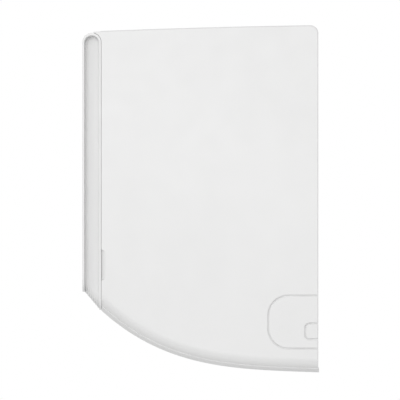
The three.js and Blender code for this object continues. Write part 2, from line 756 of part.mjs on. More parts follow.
function guideVane(x) {
  const outline = [
    [-8, 3], [12, 3], [28, 24], [28, VANE_TOP_N], [17, VANE_TOP_N], [17, 46], [0, 20], [-8, 12],
  ];
  const half = VANE_THICKNESS / 2;
  const blade = prism(outline.map(([d, n]) => inDuct(d, n)), x - half, x + half);
  const foot = barInDuct(x, 0, 0.2, 6, 1.8, 6);
  const peg = barInDuct(x, CRANK_D, VANE_TOP_N - 2, VANE_TOP_N + 3.4, 1.2, 6);
  return joined(blade, foot, peg);
}

function vaneX(side, index) {
  return side * (VANE_FIRST_X + VANE_PITCH * index);
}

function vaneLink(side) {
  const [n0, n1] = [VANE_TOP_N + GAP, VANE_TOP_N + 2.8];
  const beyond = 6;
  const xs = span(side, vaneX(1, 0) - beyond, vaneX(1, VANES_PER_SIDE - 1) + beyond);
  const corners = [[CRANK_D - 3, n0], [CRANK_D + 3, n0], [CRANK_D + 3, n1], [CRANK_D - 3, n1]];
  const bar = prism(corners.map(([d, n]) => inDuct(d, n)), ...xs);
  const holes = Array.from({ length: VANES_PER_SIDE }, (_, i) => (
    barInDuct(vaneX(side, i), CRANK_D, n0 - 1, n1 + 1, 1.7, 6)
  ));
  return cut(bar, ...holes);
}

function vaneMotor(side) {
  const xs = span(side, 25, 41);
  const can = barX(...xs, -62, 22, 9, 20);
  const foot = block(xs[0] + 2, xs[1] - 2, -72, -52, 12, 15);
  return can.add(foot);
}

// ---------------------------------------------------------------- filters

function airFilter(side) {
  const line = [[-175.2, 86], [-175.2, 256], [-171.5, 264.5], [-161, 270], [-100, 272.6], [-34, 275]];
  const xs = span(side, 4, WINDOW_X);
  const sheet = prism(ribbon(line, 1.8), ...xs);
  const middle = (xs[0] + xs[1]) / 2;
  const tab = block(middle - 18, middle + 18, -178.6, -175, 98, 106);
  return sheet.add(tab);
}

// ---------------------------------------------------------------- electrics

const [BOX_INNER_X, BOX_OUTER_X] = [357.5, 399];
const [BOX_FRONT, BOX_REAR] = [-168, -94];
const [BOX_FOOT, BOX_TOP] = [152, 262];
const BOX_WALL = 2;
const BOARD_THICKNESS = 1.6;

function controlBox() {
  const outer = block(BOX_INNER_X, BOX_OUTER_X, BOX_FRONT, BOX_REAR, BOX_FOOT, BOX_TOP);
  const [front, rear] = [BOX_FRONT + BOX_WALL, BOX_REAR - BOX_WALL];
  const [floor, ceiling] = [BOX_FOOT + BOX_WALL, BOX_TOP - BOX_WALL];
  const room = block(BOX_INNER_X + BOX_WALL, BOX_OUTER_X + 1, front, rear, floor, ceiling);
  const cableWay = block(BOX_INNER_X + 18, BOX_OUTER_X - 6, -110, -102, BOX_FOOT - 1, floor + 1);
  return cut(outer, room, cableWay);
}

function controlBoxCover() {
  const sheet = 2;
  const inset = BOX_WALL + 0.5;
  const [front, rear, top] = [BOX_FRONT + inset, BOX_REAR - inset, BOX_TOP - inset];
  const face = BOX_OUTER_X + GAP;
  const lid = block(face, face + sheet, BOX_FRONT, BOX_REAR, BOX_FOOT, BOX_TOP);
  const lip = block(BOX_OUTER_X - 3, BOX_OUTER_X + 1, front, rear, top - 2.5, top);
  return lid.add(lip);
}

function mainBoard() {
  const x = BOX_INNER_X + 8;
  const edge = 6;
  const [front, rear] = [BOX_FRONT + edge, BOX_REAR - edge];
  const board = block(x, x + BOARD_THICKNESS, front, rear, BOX_FOOT + 34, BOX_TOP - edge);
  const capacitor = barX(x + 1, x + 24, -150, 240, 9, 14);
  const relay = block(x + 1, x + 17, -124, -108, 226, 244);
  const transformer = block(x + 1, x + 22, -160, -132, 196, 220);
  const connector = block(x + 1, x + 10, -124, -104, 194, 202);
  return joined(board, capacitor, relay, transformer, connector);
}

function terminalBlock() {
  const x = BOX_INNER_X + BOX_WALL + 0.4;
  const foot = BOX_FOOT + 8;
  const [width, tall, well] = [16, 20, 8];
  const body = block(x, x + width, -160, -112, foot, foot + tall);
  const wells = spaced(-156, -124, 3).map((y) => (
    block(x + 9, x + width + 4, y, y + well, foot + 4, foot + tall - 4)
  ));
  return cut(body, ...wells);
}

function receiverBoard() {
  const board = block(364, 401, -171, -169.6, 72, 98);
  const socket = block(368, 378, -170, -163, 84, 92);
  return board.add(socket);
}

function emergencyButton() {
  const cap = barY(BODY_FRONT_Y + 0.4, BODY_FRONT_Y + 4, BUTTON_X, BUTTON_H, 4, 16);
  const skirt = barY(BODY_FRONT_Y + WALL + 1.6, BODY_FRONT_Y + 5, BUTTON_X, BUTTON_H, 5.4, 16);
  const stem = barY(BODY_FRONT_Y + 4, BODY_FRONT_Y + 9, BUTTON_X, BUTTON_H, 1.6, 10);
  return joined(cap, skirt, stem);
}

// ---------------------------------------------------------------- pipes and drain

const GAS_Y = -20;                // pipes and hose run along the wall at these depths
const LIQUID_Y = -31;
const HOSE_Y = -18;
const GAS_R = 6.35;               // half-inch pipe
const LIQUID_R = 3.2;             // quarter-inch pipe
const HOSE_R = 7.4;

function gasPipe() {
  const [y, h] = GAS_PORT;
  const route = [
    [337, y, h], [356, y, h], [368, y + 4, h - 7], [374, y + 16, h - 28], [374, -34, 150],
    [374, -26, 120], [374, -23, 86], [370, GAS_Y, 64], [352, GAS_Y, 51],
    [328, GAS_Y, 50], [200, GAS_Y, 50], [92, GAS_Y, 50],
  ];
  return tube(route, GAS_R, 8, 26);
}

function liquidPipe() {
  const [y, h] = LIQUID_PORT;
  const route = [
    [337, y, h], [357, y, h], [361, y + 5, h - 9], [361, -44, 160], [361, -36, 128],
    [361, LIQUID_Y, 92], [361, LIQUID_Y, 58], [356, LIQUID_Y, 40], [338, LIQUID_Y, 33],
    [200, LIQUID_Y, 33], [122, LIQUID_Y, 33],
  ];
  return tube(route, LIQUID_R, 6, 24);
}

function flareNut(x0, x1, y, h, radius, boreRadius) {
  const hex = barX(x0, x1 - 8, y, h, radius, 6);
  const collar = barX(x1 - 9, x1, y, h, radius * 0.78, 12);
  return joined(hex, collar).subtract(barX(x0 + 5, x1 + 1, y, h, boreRadius, 12));
}

function drainHose() {
  const route = [
    [363.2, ...SPOUT], [371, -158, 72], [380, -157, 61], [384, -140, 47], [385, -110, 33],
    [384, -80, 23], [378, -48, 17], [364, -27, 16], [344, HOSE_Y, 15.5], [300, HOSE_Y, 15],
    [104, HOSE_Y, 15],
  ];
  return tube(route, HOSE_R, 8, 30);
}

function drainCap() {
  const plug = barX(-370, -358, ...SPOUT, 8.2, 16);
  return plug.subtract(barX(-366, -357, ...SPOUT, 6.4, 16));
}

// ---------------------------------------------------------------- assembly

const unit = new THREE.Group();
const assembly = new THREE.Group();
assembly.position.z = -HEIGHT / 2;
unit.add(assembly);

function add(name, solid, material) {
  const mesh = new THREE.Mesh(toGeometry(solid), material);
  mesh.name = name;
  assembly.add(mesh);
  return mesh;
}

function sideName(side) {
  return side > 0 ? 'right' : 'left';
}

add('mounting_plate', mountingPlate(), galvanised());
add('rear_chassis', rearChassis(), innerPlastic());
add('fan_scroll', fanScroll(), innerPlastic());
add('front_frame', frontFrame(), whiteShell());
add('top_intake_grille', topGrille(), whiteShell());
add('lower_shell', lowerShell(), whiteShell());
const rightCover = sideCover();
add('side_cover_right', rightCover, whiteShell());
add('side_cover_left', rightCover.mirror([1, 0, 0]), whiteShell());

add('front_panel', frontPanel(), whiteShell());
add('display_window', displayWindow(), smokedLens());

for (const side of [-1, 1]) {
  add(`panel_end_cap_${sideName(side)}`, panelEndCap(side), whiteShell());
  add(`panel_hinge_pin_${sideName(side)}`, hingePin(side), innerPlastic());
  add(`air_filter_${sideName(side)}`, airFilter(side), netPlastic());
  add(`vane_link_${sideName(side)}`, vaneLink(side), innerPlastic());
  add(`vane_motor_${sideName(side)}`, vaneMotor(side), galvanised());
  const screw = add(`frame_screw_${sideName(side)}`, frameScrew(), screwSteel());
  screw.position.set(side * SCREW_X, 0, SCREW_H);
  for (let i = 0; i < VANES_PER_SIDE; i += 1) {
    add(`guide_vane_${sideName(side)}_${i + 1}`, guideVane(vaneX(side, i)), innerPlastic());
  }
}

add('coil_front_lower', coil([-160, 86], [-160, 176], [14, 45, 76]), aluminiumFin());
add('coil_front_upper', coil([-158, 190], [-117, 258], [20, 58]), aluminiumFin());
add('coil_rear', coil([-44, 176], [-96, 252], [62]), aluminiumFin());
add('gas_pipe', gasPipe(), copper());
add('liquid_pipe', liquidPipe(), copper());
add('gas_flare_nut', flareNut(70, 97, GAS_Y, 50, 13, 6.8), brass());
add('liquid_flare_nut', flareNut(102, 126, LIQUID_Y, 33, 9, 3.6), brass());

add('crossflow_fan', crossflowFan(), blackPlastic());
add('motor_shaft', motorShaft(), screwSteel());
add('fan_bearing', fanBearing(), foamRubber());
add('fan_motor', fanMotor(), innerPlastic());
add('motor_bracket', motorBracket(), galvanised());

add('main_louver', mainLouver(), whiteShell());
add('louver_motor', louverMotor(), galvanised());

add('drain_tray', drainTray(), innerPlastic());
add('drain_hose', drainHose(), hosePlastic());
add('drain_cap', drainCap(), foamRubber());

add('control_box', controlBox(), innerPlastic());
add('control_box_cover', controlBoxCover(), galvanised());
add('main_board', mainBoard(), boardGreen());
add('terminal_block', terminalBlock(), blackPlastic());
add('receiver_board', receiverBoard(), boardGreen());
add('emergency_button', emergencyButton(), innerPlastic());

export default unit;
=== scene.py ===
"""Looks of a wall-mounted air conditioner's indoor unit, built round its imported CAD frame.

Metres, in the CAD's own frame: +X right, -Y the room, the wall at y = 0, +Z up.
"""
import json
import math

import bmesh
import bpy
from mathutils import Matrix, Vector


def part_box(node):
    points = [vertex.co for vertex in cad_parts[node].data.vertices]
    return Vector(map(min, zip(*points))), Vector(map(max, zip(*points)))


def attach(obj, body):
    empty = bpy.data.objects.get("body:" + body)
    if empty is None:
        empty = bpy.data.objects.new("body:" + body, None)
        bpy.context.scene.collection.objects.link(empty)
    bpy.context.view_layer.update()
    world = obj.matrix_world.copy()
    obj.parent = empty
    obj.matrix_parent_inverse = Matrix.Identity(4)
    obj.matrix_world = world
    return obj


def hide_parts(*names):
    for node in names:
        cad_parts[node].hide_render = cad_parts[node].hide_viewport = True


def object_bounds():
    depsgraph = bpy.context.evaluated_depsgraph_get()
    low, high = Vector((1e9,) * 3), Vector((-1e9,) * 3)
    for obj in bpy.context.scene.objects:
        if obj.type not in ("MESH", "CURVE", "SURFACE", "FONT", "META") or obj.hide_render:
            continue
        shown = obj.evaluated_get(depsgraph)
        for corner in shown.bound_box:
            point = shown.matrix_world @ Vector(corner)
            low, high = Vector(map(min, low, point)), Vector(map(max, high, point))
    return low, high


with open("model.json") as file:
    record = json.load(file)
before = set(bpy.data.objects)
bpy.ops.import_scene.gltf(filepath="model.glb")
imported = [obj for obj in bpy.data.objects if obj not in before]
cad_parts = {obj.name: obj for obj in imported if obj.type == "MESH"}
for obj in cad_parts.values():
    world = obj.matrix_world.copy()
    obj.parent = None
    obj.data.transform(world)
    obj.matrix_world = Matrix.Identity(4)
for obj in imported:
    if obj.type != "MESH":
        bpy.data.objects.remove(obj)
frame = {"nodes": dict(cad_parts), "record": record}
cad_low, cad_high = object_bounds()

# -------- sizes taken from the frame

MM = 0.001
END_X = cad_high.x
FLOOR_Z = cad_low.z


def height(mm):
    """A height above the belly's lowest point, in the frame's own z."""
    return mm * MM + FLOOR_Z


COVER_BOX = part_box("side_cover_right")
COVER_INNER_X = COVER_BOX[0].x
BODY_REAR_Y = COVER_BOX[1].y
TOP_REAR_Z = COVER_BOX[1].z
PANEL_FRONT_Y, PANEL_REAR_Y = (corner.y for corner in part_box("front_panel"))
FRONT_GAP = 0.15 * MM  # seam between the body and the front panel
BODY_FRONT_Y = PANEL_REAR_Y + FRONT_GAP

BELLY_DEPTH = 183 * MM
BELLY_RISE_LINEAR = 6.2 * MM
BELLY_RISE_CURVED = 45.2 * MM
BELLY_POWER = 3.48
TOP_SLOPE = 0.01476  # the top's fall towards the front, and how the fall grows
TOP_CURVE = 0.000072 / MM
SHELL_THICKNESS = 3.7 * MM
COVER_OFFSET = 3.75 * MM  # distance of the side cover's lower edge inside the belly
COVER_ROLL = 11.1 * MM  # radius of the side cover's rounded lower edge
COVER_TURN = 49  # degrees that it turns through
EDGE_ROLL = 1.2 * MM  # radius of its other edges
FRONT_EASE = 0.15  # share of that radius by which the edge beside the panel draws in
REAR_CORNER_R = 6.7 * MM
WALL = 2.4 * MM
SEAM = 0.8 * MM  # gap round the louver

PANEL_R = (PANEL_REAR_Y - PANEL_FRONT_Y) / 2
PANEL_AXIS = ((PANEL_REAR_Y + PANEL_FRONT_Y) / 2, height(278.9))
PANEL_WALL = 1.5 * MM
INNER_CROWN_DROP = 0.55 * MM  # the recess's round top sits a little under the panel's
PANEL_FRONT_LIP, PANEL_REAR_LIP = height(68.3), height(53.1)
PANEL_RIBS = 7

FOOT_ROLL = 8 * MM  # radius of the rounded edge between the end face and the foot
FOOT_TURN = 42  # degrees that it turns through
FOOT_REACH = FOOT_ROLL * (1 - math.cos(math.radians(FOOT_TURN)))
FOOT_BAND = 2.6 * MM  # depth of the ribbed band under it
FOOT_CHAMFER = 3.2 * MM
FOOT_SLANT = 1.37  # height gained for each unit measured square to the foot
RIB_SWELL = 0.8 * MM
RIBS_REAR_Y = PANEL_REAR_Y - 2.4 * MM
RIBS_FRONT_Y = PANEL_FRONT_Y + 1.7 * MM


# -------- mesh helpers

def linked(name, data):
    """A new object in the scene that shows a mesh, a light or a camera."""
    obj = bpy.data.objects.new(name, data)
    bpy.context.scene.collection.objects.link(obj)
    return obj


def keep_object(name, bm, weld=True):
    """Turns a bmesh into an object whose faces all point out."""
    if weld:
        bmesh.ops.remove_doubles(bm, verts=bm.verts, dist=1e-7)
    bmesh.ops.recalc_face_normals(bm, faces=bm.faces)
    mesh = bpy.data.meshes.new(name)
    bm.to_mesh(mesh)
    bm.free()
    return linked(name, mesh)


def skin(bm, rings, closed=False):
    """Closes a stack of rings of vertices into a solid, with end faces or round into a loop."""
    for ring, following in zip(rings, rings[1:] + rings[:1] if closed else rings[1:]):
        for i in range(len(ring)):
            j = (i + 1) % len(ring)
            bm.faces.new((ring[i], ring[j], following[j], following[i]))
    if not closed:
        bm.faces.new(rings[0])
        bm.faces.new(rings[-1])


def loft(name, sections):
    """A closed solid through outlines in the (y, z) plane; sections are (x, outline) pairs."""
    bm = bmesh.new()
    skin(bm, [[bm.verts.new((x, y, z)) for y, z in outline] for x, outline in sections])
    return keep_object(name, bm)


def upright(name, *sections):
    """A closed solid through outlines in the (x, z) plane; sections are (y, outline) pairs."""
    bm = bmesh.new()
    skin(bm, [[bm.verts.new((x, y, z)) for x, z in outline] for y, outline in sections])
    return keep_object(name, bm)


def add_prism(bm, outline, x0, x1):
    """Adds a (y, z) outline's prism between two places along X to a bmesh."""
    skin(bm, [[bm.verts.new((x, y, z)) for y, z in outline] for x in (x0, x1)])


def extrude(name, outline, x0, x1):
    return loft(name, [(x0, outline), (x1, outline)])


def both_ends(name, half, ends):
    """A solid from -half to half; ends are (distance in from an end face, outline) pairs."""
    sections = [(-half + d, outline) for d, outline in ends]
    return loft(name, sections + [(half - d, outline) for d, outline in reversed(ends)])


def add_box(bm, low, high):
    """Adds a box between two corners to a bmesh."""
    place = Matrix.Translation((Vector(low) + Vector(high)) / 2)
    size = Vector(high) - Vector(low)
    bmesh.ops.create_cube(bm, size=1.0, matrix=place @ Matrix.Diagonal((*size, 1.0)))


def box(name, low, high):
    bm = bmesh.new()
    add_box(bm, low, high)
    return keep_object(name, bm)


def bar(name, start, end, radius, sides=32):
    """A round bar between two points."""
    start, end = Vector(start), Vector(end)
    bm = bmesh.new()
    turn = (end - start).to_track_quat("Z", "Y").to_matrix().to_4x4()
    place = Matrix.Translation((start + end) / 2) @ turn
    bmesh.ops.create_cone(
        bm, cap_ends=True, segments=sides, radius1=radius, radius2=radius,
        depth=(end - start).length, matrix=place,
    )
    return keep_object(name, bm)


def shaft(name, x0, x1, centre, radius, sides=32):
    """A round bar along X about a (y, z) centre."""
    return bar(name, (x0, *centre), (x1, *centre), radius, sides)


def combine(base, others, operation="DIFFERENCE"):
    """Cuts the other objects from the base, or joins them to it, and removes them."""
    for other in others:
        step = base.modifiers.new("combine", "BOOLEAN")
        step.operation = operation
        step.solver = "EXACT"
        step.object = other
    bpy.context.view_layer.update()
    made = bpy.data.meshes.new_from_object(base.evaluated_get(bpy.context.evaluated_depsgraph_get()))
    base.modifiers.clear()
    base.data = made
    for other in others:
        bpy.data.objects.remove(other)
    return base


def smooth(obj, degrees=32):
    """Smooth shading that keeps real edges sharp and flats flat."""
    mesh = obj.data
    mesh.polygons.foreach_set("use_smooth", [True] * len(mesh.polygons))
    mesh.set_sharp_from_angle(angle=math.radians(degrees))
    weighted = obj.modifiers.new("weighted", "WEIGHTED_NORMAL")
    weighted.keep_sharp = True
    return obj


def arc(centre, radius, start, end, count):
    """Points on an arc in the (y, z) plane, in degrees from +Y towards up."""
    points = []
    for i in range(count + 1):
        angle = math.radians(start + (end - start) * i / count)
        points.append((centre[0] + radius * math.cos(angle), centre[1] + radius * math.sin(angle)))
    return points


def spaced(first, last, count):
    return [first + (last - first) * i / count for i in range(count + 1)]


def quarter(radius, distance):
    """How far a quarter round draws an outline in, a distance inward of the end face."""
    if distance >= radius:
        return 0.0
    return radius * (1 - math.sqrt(1 - (1 - distance / radius) ** 2))


# -------- outlines

def belly(y):
    """The belly's height at a depth: a straight slope plus a power curve."""
    u = -y / BELLY_DEPTH
    return FLOOR_Z + BELLY_RISE_LINEAR * u + BELLY_RISE_CURVED * u ** BELLY_POWER


def belly_slope(y):
    u = max(-y, 0.0) / BELLY_DEPTH
    return -(BELLY_RISE_LINEAR + BELLY_RISE_CURVED * BELLY_POWER * u ** (BELLY_POWER - 1)) / BELLY_DEPTH


def above_belly(y, inset):
    """The height, at a depth, of a line that keeps a distance inside the belly."""
    return belly(y) + inset * math.hypot(1, belly_slope(y))


def belly_point(y, inset):
    """The point that lies square to the belly, a distance inside it."""
    slope = belly_slope(y)
    long = math.hypot(1, slope)
    return (y - slope * inset / long, belly(y) + inset / long)


def top_z(y):
    s = -REAR_CORNER_R - MM - y
    return TOP_REAR_Z - TOP_SLOPE * s - TOP_CURVE * s * s


def top_outline(roll=0.0):
    """The body's top from the rear edge over the nose and down behind the panel's round top."""
    rear = BODY_REAR_Y - roll
    corner_centre = (BODY_REAR_Y - REAR_CORNER_R, TOP_REAR_Z - REAR_CORNER_R)
    corner = arc(corner_centre, REAR_CORNER_R - roll, 0, 90, 10)
    slope = [(y, top_z(y) - roll) for y in spaced(rear - 2 * REAR_CORNER_R, BODY_FRONT_Y, 14)]
    clearance = PANEL_R + FRONT_GAP + roll * FRONT_EASE
    tip_y = -190.4 * MM + roll * 0.5
    nose = [(y, top_z(y) - 0.35 * MM - roll * 0.3) for y in spaced(-185 * MM, tip_y, 3)]
    tip_angle = math.degrees(math.acos((tip_y - PANEL_AXIS[0]) / clearance))
    under = arc(PANEL_AXIS, clearance, tip_angle, 10, 14)
    front = [(BODY_FRONT_Y + roll * FRONT_EASE, PANEL_AXIS[1])]
    return corner + slope + nose + under + front


def body_outline(lift=0.0, roll=0.0):
    """The whole end view of the body; lift raises its lower edge, roll draws in the others."""
    ys = spaced(BODY_FRONT_Y + roll * FRONT_EASE, BODY_REAR_Y - roll, 72)
    bottom = [(y, above_belly(y, COVER_OFFSET + lift)) for y in ys]
    return top_outline(roll) + bottom


def edge_lift(d, radius, turn):
    """How far a rounded edge is raised, a distance inward of the end face that it leaves."""
    last = math.radians(turn)
    angle = math.acos(max(1 - d / radius, math.cos(last)))
    return radius * (math.sin(last) - math.sin(angle))


def foot_lift(d):
    """How far the panel's slanting foot is raised, a distance inward of its end face."""
    if d < FOOT_REACH:
        return FOOT_BAND + edge_lift(d, FOOT_ROLL, FOOT_TURN)
    return FOOT_BAND * max(1 - (d - FOOT_REACH) / FOOT_CHAMFER, 0.0)


def ribbed_foot(front_y, rear_y, lift, count=56):
    """The panel's ribbed underside between two depths, from the rear to the front."""
    start, stop = PANEL_REAR_LIP + 1.4 * MM, PANEL_FRONT_LIP
    points = []
    for y in spaced(rear_y, front_y, count):
        t = (RIBS_REAR_Y - y) / (RIBS_REAR_Y - RIBS_FRONT_Y)
        swell = RIB_SWELL * (0.5 - 0.5 * math.cos(2 * math.pi * t * PANEL_RIBS)) ** 0.6
        points.append((y, start + (stop - start) * t - swell + lift * FOOT_SLANT))
    return points


def panel_outer(roll=0.0, lift=0.0):
    """The front panel's end view: round top, flat sides and a slanting ribbed foot."""
    low, high = PANEL_FRONT_Y + roll, PANEL_REAR_Y - roll
    crown = arc(PANEL_AXIS, PANEL_R - roll, 180, 0, 40)
    rear_lip, front_lip = PANEL_REAR_LIP + lift * FOOT_SLANT, PANEL_FRONT_LIP + lift * FOOT_SLANT
    ribbed = ribbed_foot(RIBS_FRONT_Y, RIBS_REAR_Y, lift)
    return crown + [(high, rear_lip), (RIBS_REAR_Y, rear_lip)] + ribbed + [(low, front_lip)]


def panel_inner():
    """The panel's hollow."""
    low, high = PANEL_FRONT_Y + PANEL_WALL, PANEL_REAR_Y - PANEL_WALL
    crown = arc(PANEL_AXIS, PANEL_R - PANEL_WALL, 180, 0, 32)
    rear_foot, front_foot = PANEL_REAR_LIP + 4.7 * MM, PANEL_FRONT_LIP + 3.1 * MM
    return crown + [(high, rear_foot), (low, front_foot)]


# -------- materials

def material(name, colour, roughness, metallic=0.0):
    made = bpy.data.materials.new(name)
    made.use_nodes = True
    shader = made.node_tree.nodes["Principled BSDF"]
    shader.inputs["Base Color"].default_value = (*colour, 1.0)
    shader.inputs["Roughness"].default_value = roughness
    shader.inputs["Metallic"].default_value = metallic
    return made, made.node_tree, shader


def add_node(tree, kind, values):
    """A shader node with values set on some of its inputs."""
    node = tree.nodes.new("ShaderNode" + kind)
    for name, value in values.items():
        node.inputs[name].default_value = value
    return node


def texture(tree, kind, values, stretch=(1.0, 1.0, 1.0)):
    """A texture in object space; its scale is in features to the metre."""
    place = add_node(tree, "TexCoord", {})
    mapping = add_node(tree, "Mapping", {"Scale": stretch})
    made = add_node(tree, kind, values)
    tree.links.new(place.outputs["Object"], mapping.inputs["Vector"])
    tree.links.new(mapping.outputs["Vector"], made.inputs["Vector"])
    return made


def noise(tree, scale, detail=3.0, stretch=(1.0, 1.0, 1.0)):
    return texture(tree, "TexNoise", {"Scale": scale, "Detail": detail}, stretch).outputs["Fac"]


def ramp(tree, value, low, high, start=0.3, end=0.7):
    """Maps a value to a colour between two colours."""
    node = add_node(tree, "ValToRGB", {})
    node.color_ramp.elements[0].position = start
    node.color_ramp.elements[1].position = end
    node.color_ramp.elements[0].color = (*low, 1.0)
    node.color_ramp.elements[1].color = (*high, 1.0)
    tree.links.new(value, node.inputs["Fac"])
    return node.outputs["Color"]


def spread(tree, value, low, high, start=0.3, end=0.7):
    """Maps a value to a number between two numbers."""
    limits = {"From Min": start, "From Max": end, "To Min": low, "To Max": high}
    node = add_node(tree, "MapRange", limits)
    tree.links.new(value, node.inputs["Value"])
    return node.outputs["Result"]


def bump(tree, shader, value, distance, strength=1.0):
    node = add_node(tree, "Bump", {"Strength": strength, "Distance": distance})
    tree.links.new(value, node.inputs["Height"])
    tree.links.new(node.outputs["Normal"], shader.inputs["Normal"])


def vary(tree, shader, colour, roughness):
    """Drives a surface's colour and roughness."""
    tree.links.new(colour, shader.inputs["Base Color"])
    tree.links.new(roughness, shader.inputs["Roughness"])


def tinted(colour, amount):
    return tuple(min(max(c * amount, 0.0), 1.0) for c in colour)


def moulded_plastic(name, colour, roughness, grain=2600.0, depth=0.00002, variation=0.012):
    """Moulded plastic: a very fine grain, faint flow marks, slightly uneven gloss."""
    made, tree, shader = material(name, colour, roughness)
    flow = noise(tree, 9.0, 2.0, (0.35, 1.0, 1.0))
    tint = ramp(tree, flow, tinted(colour, 1 - variation), tinted(colour, 1 + variation))
    vary(tree, shader, tint, spread(tree, noise(tree, 60.0, 4.0), roughness - 0.04, roughness + 0.05))
    bump(tree, shader, noise(tree, grain, 2.0), depth, 0.5)
    return made


def sheet_metal(name, colour, roughness, scale=120.0):
    """Zinc-coated sheet with a faint spangle."""
    made, tree, shader = material(name, colour, roughness, 1.0)
    cells = texture(tree, "TexVoronoi", {"Scale": scale})
    spangle = add_node(tree, "SeparateColor", {})
    tree.links.new(cells.outputs["Color"], spangle.inputs["Color"])
    tint = ramp(tree, spangle.outputs["Red"], tinted(colour, 0.95), tinted(colour, 1.04), 0.0, 1.0)
    vary(tree, shader, tint, spread(tree, spangle.outputs["Green"], roughness - 0.02, roughness + 0.04))
    bump(tree, shader, noise(tree, 900.0, 3.0), 0.00003, 0.3)
    return made


def drawn_metal(name, colour, roughness, stretch=(0.05, 1.0, 1.0)):
    """Drawn or turned metal with fine lines along it and a slightly uneven tarnish."""
    made, tree, shader = material(name, colour, roughness, 1.0)
    tarnish = ramp(tree, noise(tree, 45.0, 5.0), tinted(colour, 0.72), colour)
    lines = noise(tree, 1800.0, 2.0, stretch)
    vary(tree, shader, tarnish, spread(tree, lines, roughness - 0.06, roughness + 0.1))
    bump(tree, shader, lines, 0.00002, 0.4)
    return made


def rubber(name, colour):
    made, tree, shader = material(name, colour, 0.78)
    tint = ramp(tree, noise(tree, 150.0, 4.0), tinted(colour, 0.8), tinted(colour, 1.5))
    vary(tree, shader, tint, spread(tree, noise(tree, 200.0), 0.7, 0.88))
    bump(tree, shader, noise(tree, 1200.0, 3.0), 0.00006, 0.5)
    return made


def circuit_board(name):
    """Green solder mask over faint copper tracks."""
    made, tree, shader = material(name, (0.02, 0.12, 0.06), 0.35)
    greens = {"Color1": (0.015, 0.10, 0.05, 1), "Color2": (0.02, 0.13, 0.065, 1)}
    lines = {"Mortar": (0.06, 0.24, 0.12, 1), "Mortar Size": 0.06}
    tracks = texture(tree, "TexBrick", {"Scale": 160.0, **greens, **lines})
    vary(tree, shader, tracks.outputs["Color"], spread(tree, noise(tree, 300.0), 0.28, 0.45))
    bump(tree, shader, tracks.outputs["Fac"], 0.00003, 0.6)
    return made


def smoked_lens(name):
    made, tree, shader = material(name, (0.035, 0.037, 0.042), 0.08)
    tint = ramp(tree, noise(tree, 30.0), (0.03, 0.032, 0.037), (0.045, 0.047, 0.052))
    vary(tree, shader, tint, spread(tree, noise(tree, 90.0), 0.06, 0.12))
    shader.inputs["Coat Weight"].default_value = 0.6
    shader.inputs["Coat Roughness"].default_value = 0.05
    return made


WHITE = (0.83, 0.83, 0.828)
finishes = {
    "white_shell": moulded_plastic("white_abs", WHITE, 0.44),
    "inner_plastic": moulded_plastic("inner_plastic", (0.72, 0.72, 0.705), 0.55, 1800.0, 0.00003, 0.02),
    "black_plastic": moulded_plastic("black_plastic", (0.025, 0.025, 0.028), 0.5, 1500.0, 0.00004, 0.1),
    "hose_plastic": moulded_plastic("hose_plastic", (0.68, 0.68, 0.63), 0.5, 1200.0, 0.00004, 0.03),
    "filter_net": moulded_plastic("filter_net", (0.26, 0.29, 0.32), 0.6, 1500.0, 0.00003, 0.05),
    "smoked_lens": smoked_lens("smoked_lens"),
    "sheet_steel": sheet_metal("zinc_sheet", (0.58, 0.59, 0.60), 0.36),
    "screw_steel": drawn_metal("plated_steel", (0.62, 0.62, 0.63), 0.28),
    "coil_fin": drawn_metal("aluminium_fin", (0.74, 0.76, 0.78), 0.34, (1.0, 1.0, 0.05)),
    "copper_pipe": drawn_metal("copper", (0.80, 0.42, 0.26), 0.27),
    "brass_nut": drawn_metal("brass", (0.78, 0.60, 0.28), 0.25),
    "black_rubber": rubber("black_rubber", (0.022, 0.022, 0.023)),
    "circuit_board": circuit_board("circuit_board"),
}


def dress_frame():
    """Gives every CAD node its slot's finish; pieces that stand for nodes come later."""
    slots = {entry["node"]: entry["material_slot"] for entry in frame["record"]["subparts"]}
    for name, obj in frame["nodes"].items():
        obj.data.materials.clear()
        obj.data.materials.append(finishes[slots[name]])
        obj.data.polygons.foreach_set("use_smooth", [True] * len(obj.data.polygons))
        obj.data.set_sharp_from_angle(angle=math.radians(28))


def piece(obj, body, slot, *stands_for):
    """Declares a finished piece: its finish, the body it rides on and the nodes it stands for."""
    obj.data.materials.clear()
    obj.data.materials.append(finishes[slot])
    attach(obj, body)
    if stands_for:
        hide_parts(*stands_for)
    return obj


# -------- outer shells

FACE = 2.8 * MM
POCKET_INSET = 6 * MM
NOTCH_LOW, NOTCH_HIGH = height(78), height(104)
NOTCH_REACH = 3.9 * MM
NOTCH_SUNK = 2.5 * MM
GROOVE_WIDTH = 1.5 * MM
GROOVE_DEPTH = 2.1 * MM
OUTLET_X = 350 * MM
LOUVER_FRONT_Y = -174 * MM
LOUVER_FOOT_Y = -104 * MM
LOUVER_BEAD_R = 7 * MM
LOUVER_REAR_GAP = 6.4 * MM
LOUVER_AXIS = belly_point(LOUVER_FOOT_Y, LOUVER_BEAD_R)
FRAME_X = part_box("front_frame")[1].x
HINGE_ARM_X, HINGE_ARM_HALF = 380 * MM, 4 * MM
SCREW_X, SCREW_Z = 375 * MM, height(66)
WINDOW_GAP, WINDOW_X = 6 * MM, 392 * MM  # the two filter windows' inner and outer edges
WINDOW_LOW, WINDOW_HIGH = height(88), height(268)
GRILLE_SEAT = ((-WINDOW_X, -160 * MM, height(275)), (WINDOW_X, -28 * MM, height(300)))
# the belly's drawn-in end: places in from the end face and how far each is raised, in millimetres
SHELL_END = ((3.7, 3.3), (3.95, 2.95), (6.7, 0.25), (7.3, 0.06), (8.5, 0))


def roll_steps(*radii):
    """Distances from an end face at which the quarter rounds of these radii are sampled."""
    steps = {0.0}
    for radius in radii:
        steps.update(radius * (1 - math.sin(math.radians(a))) for a in spaced(0, 81, 9))
    return sorted(steps, reverse=True)


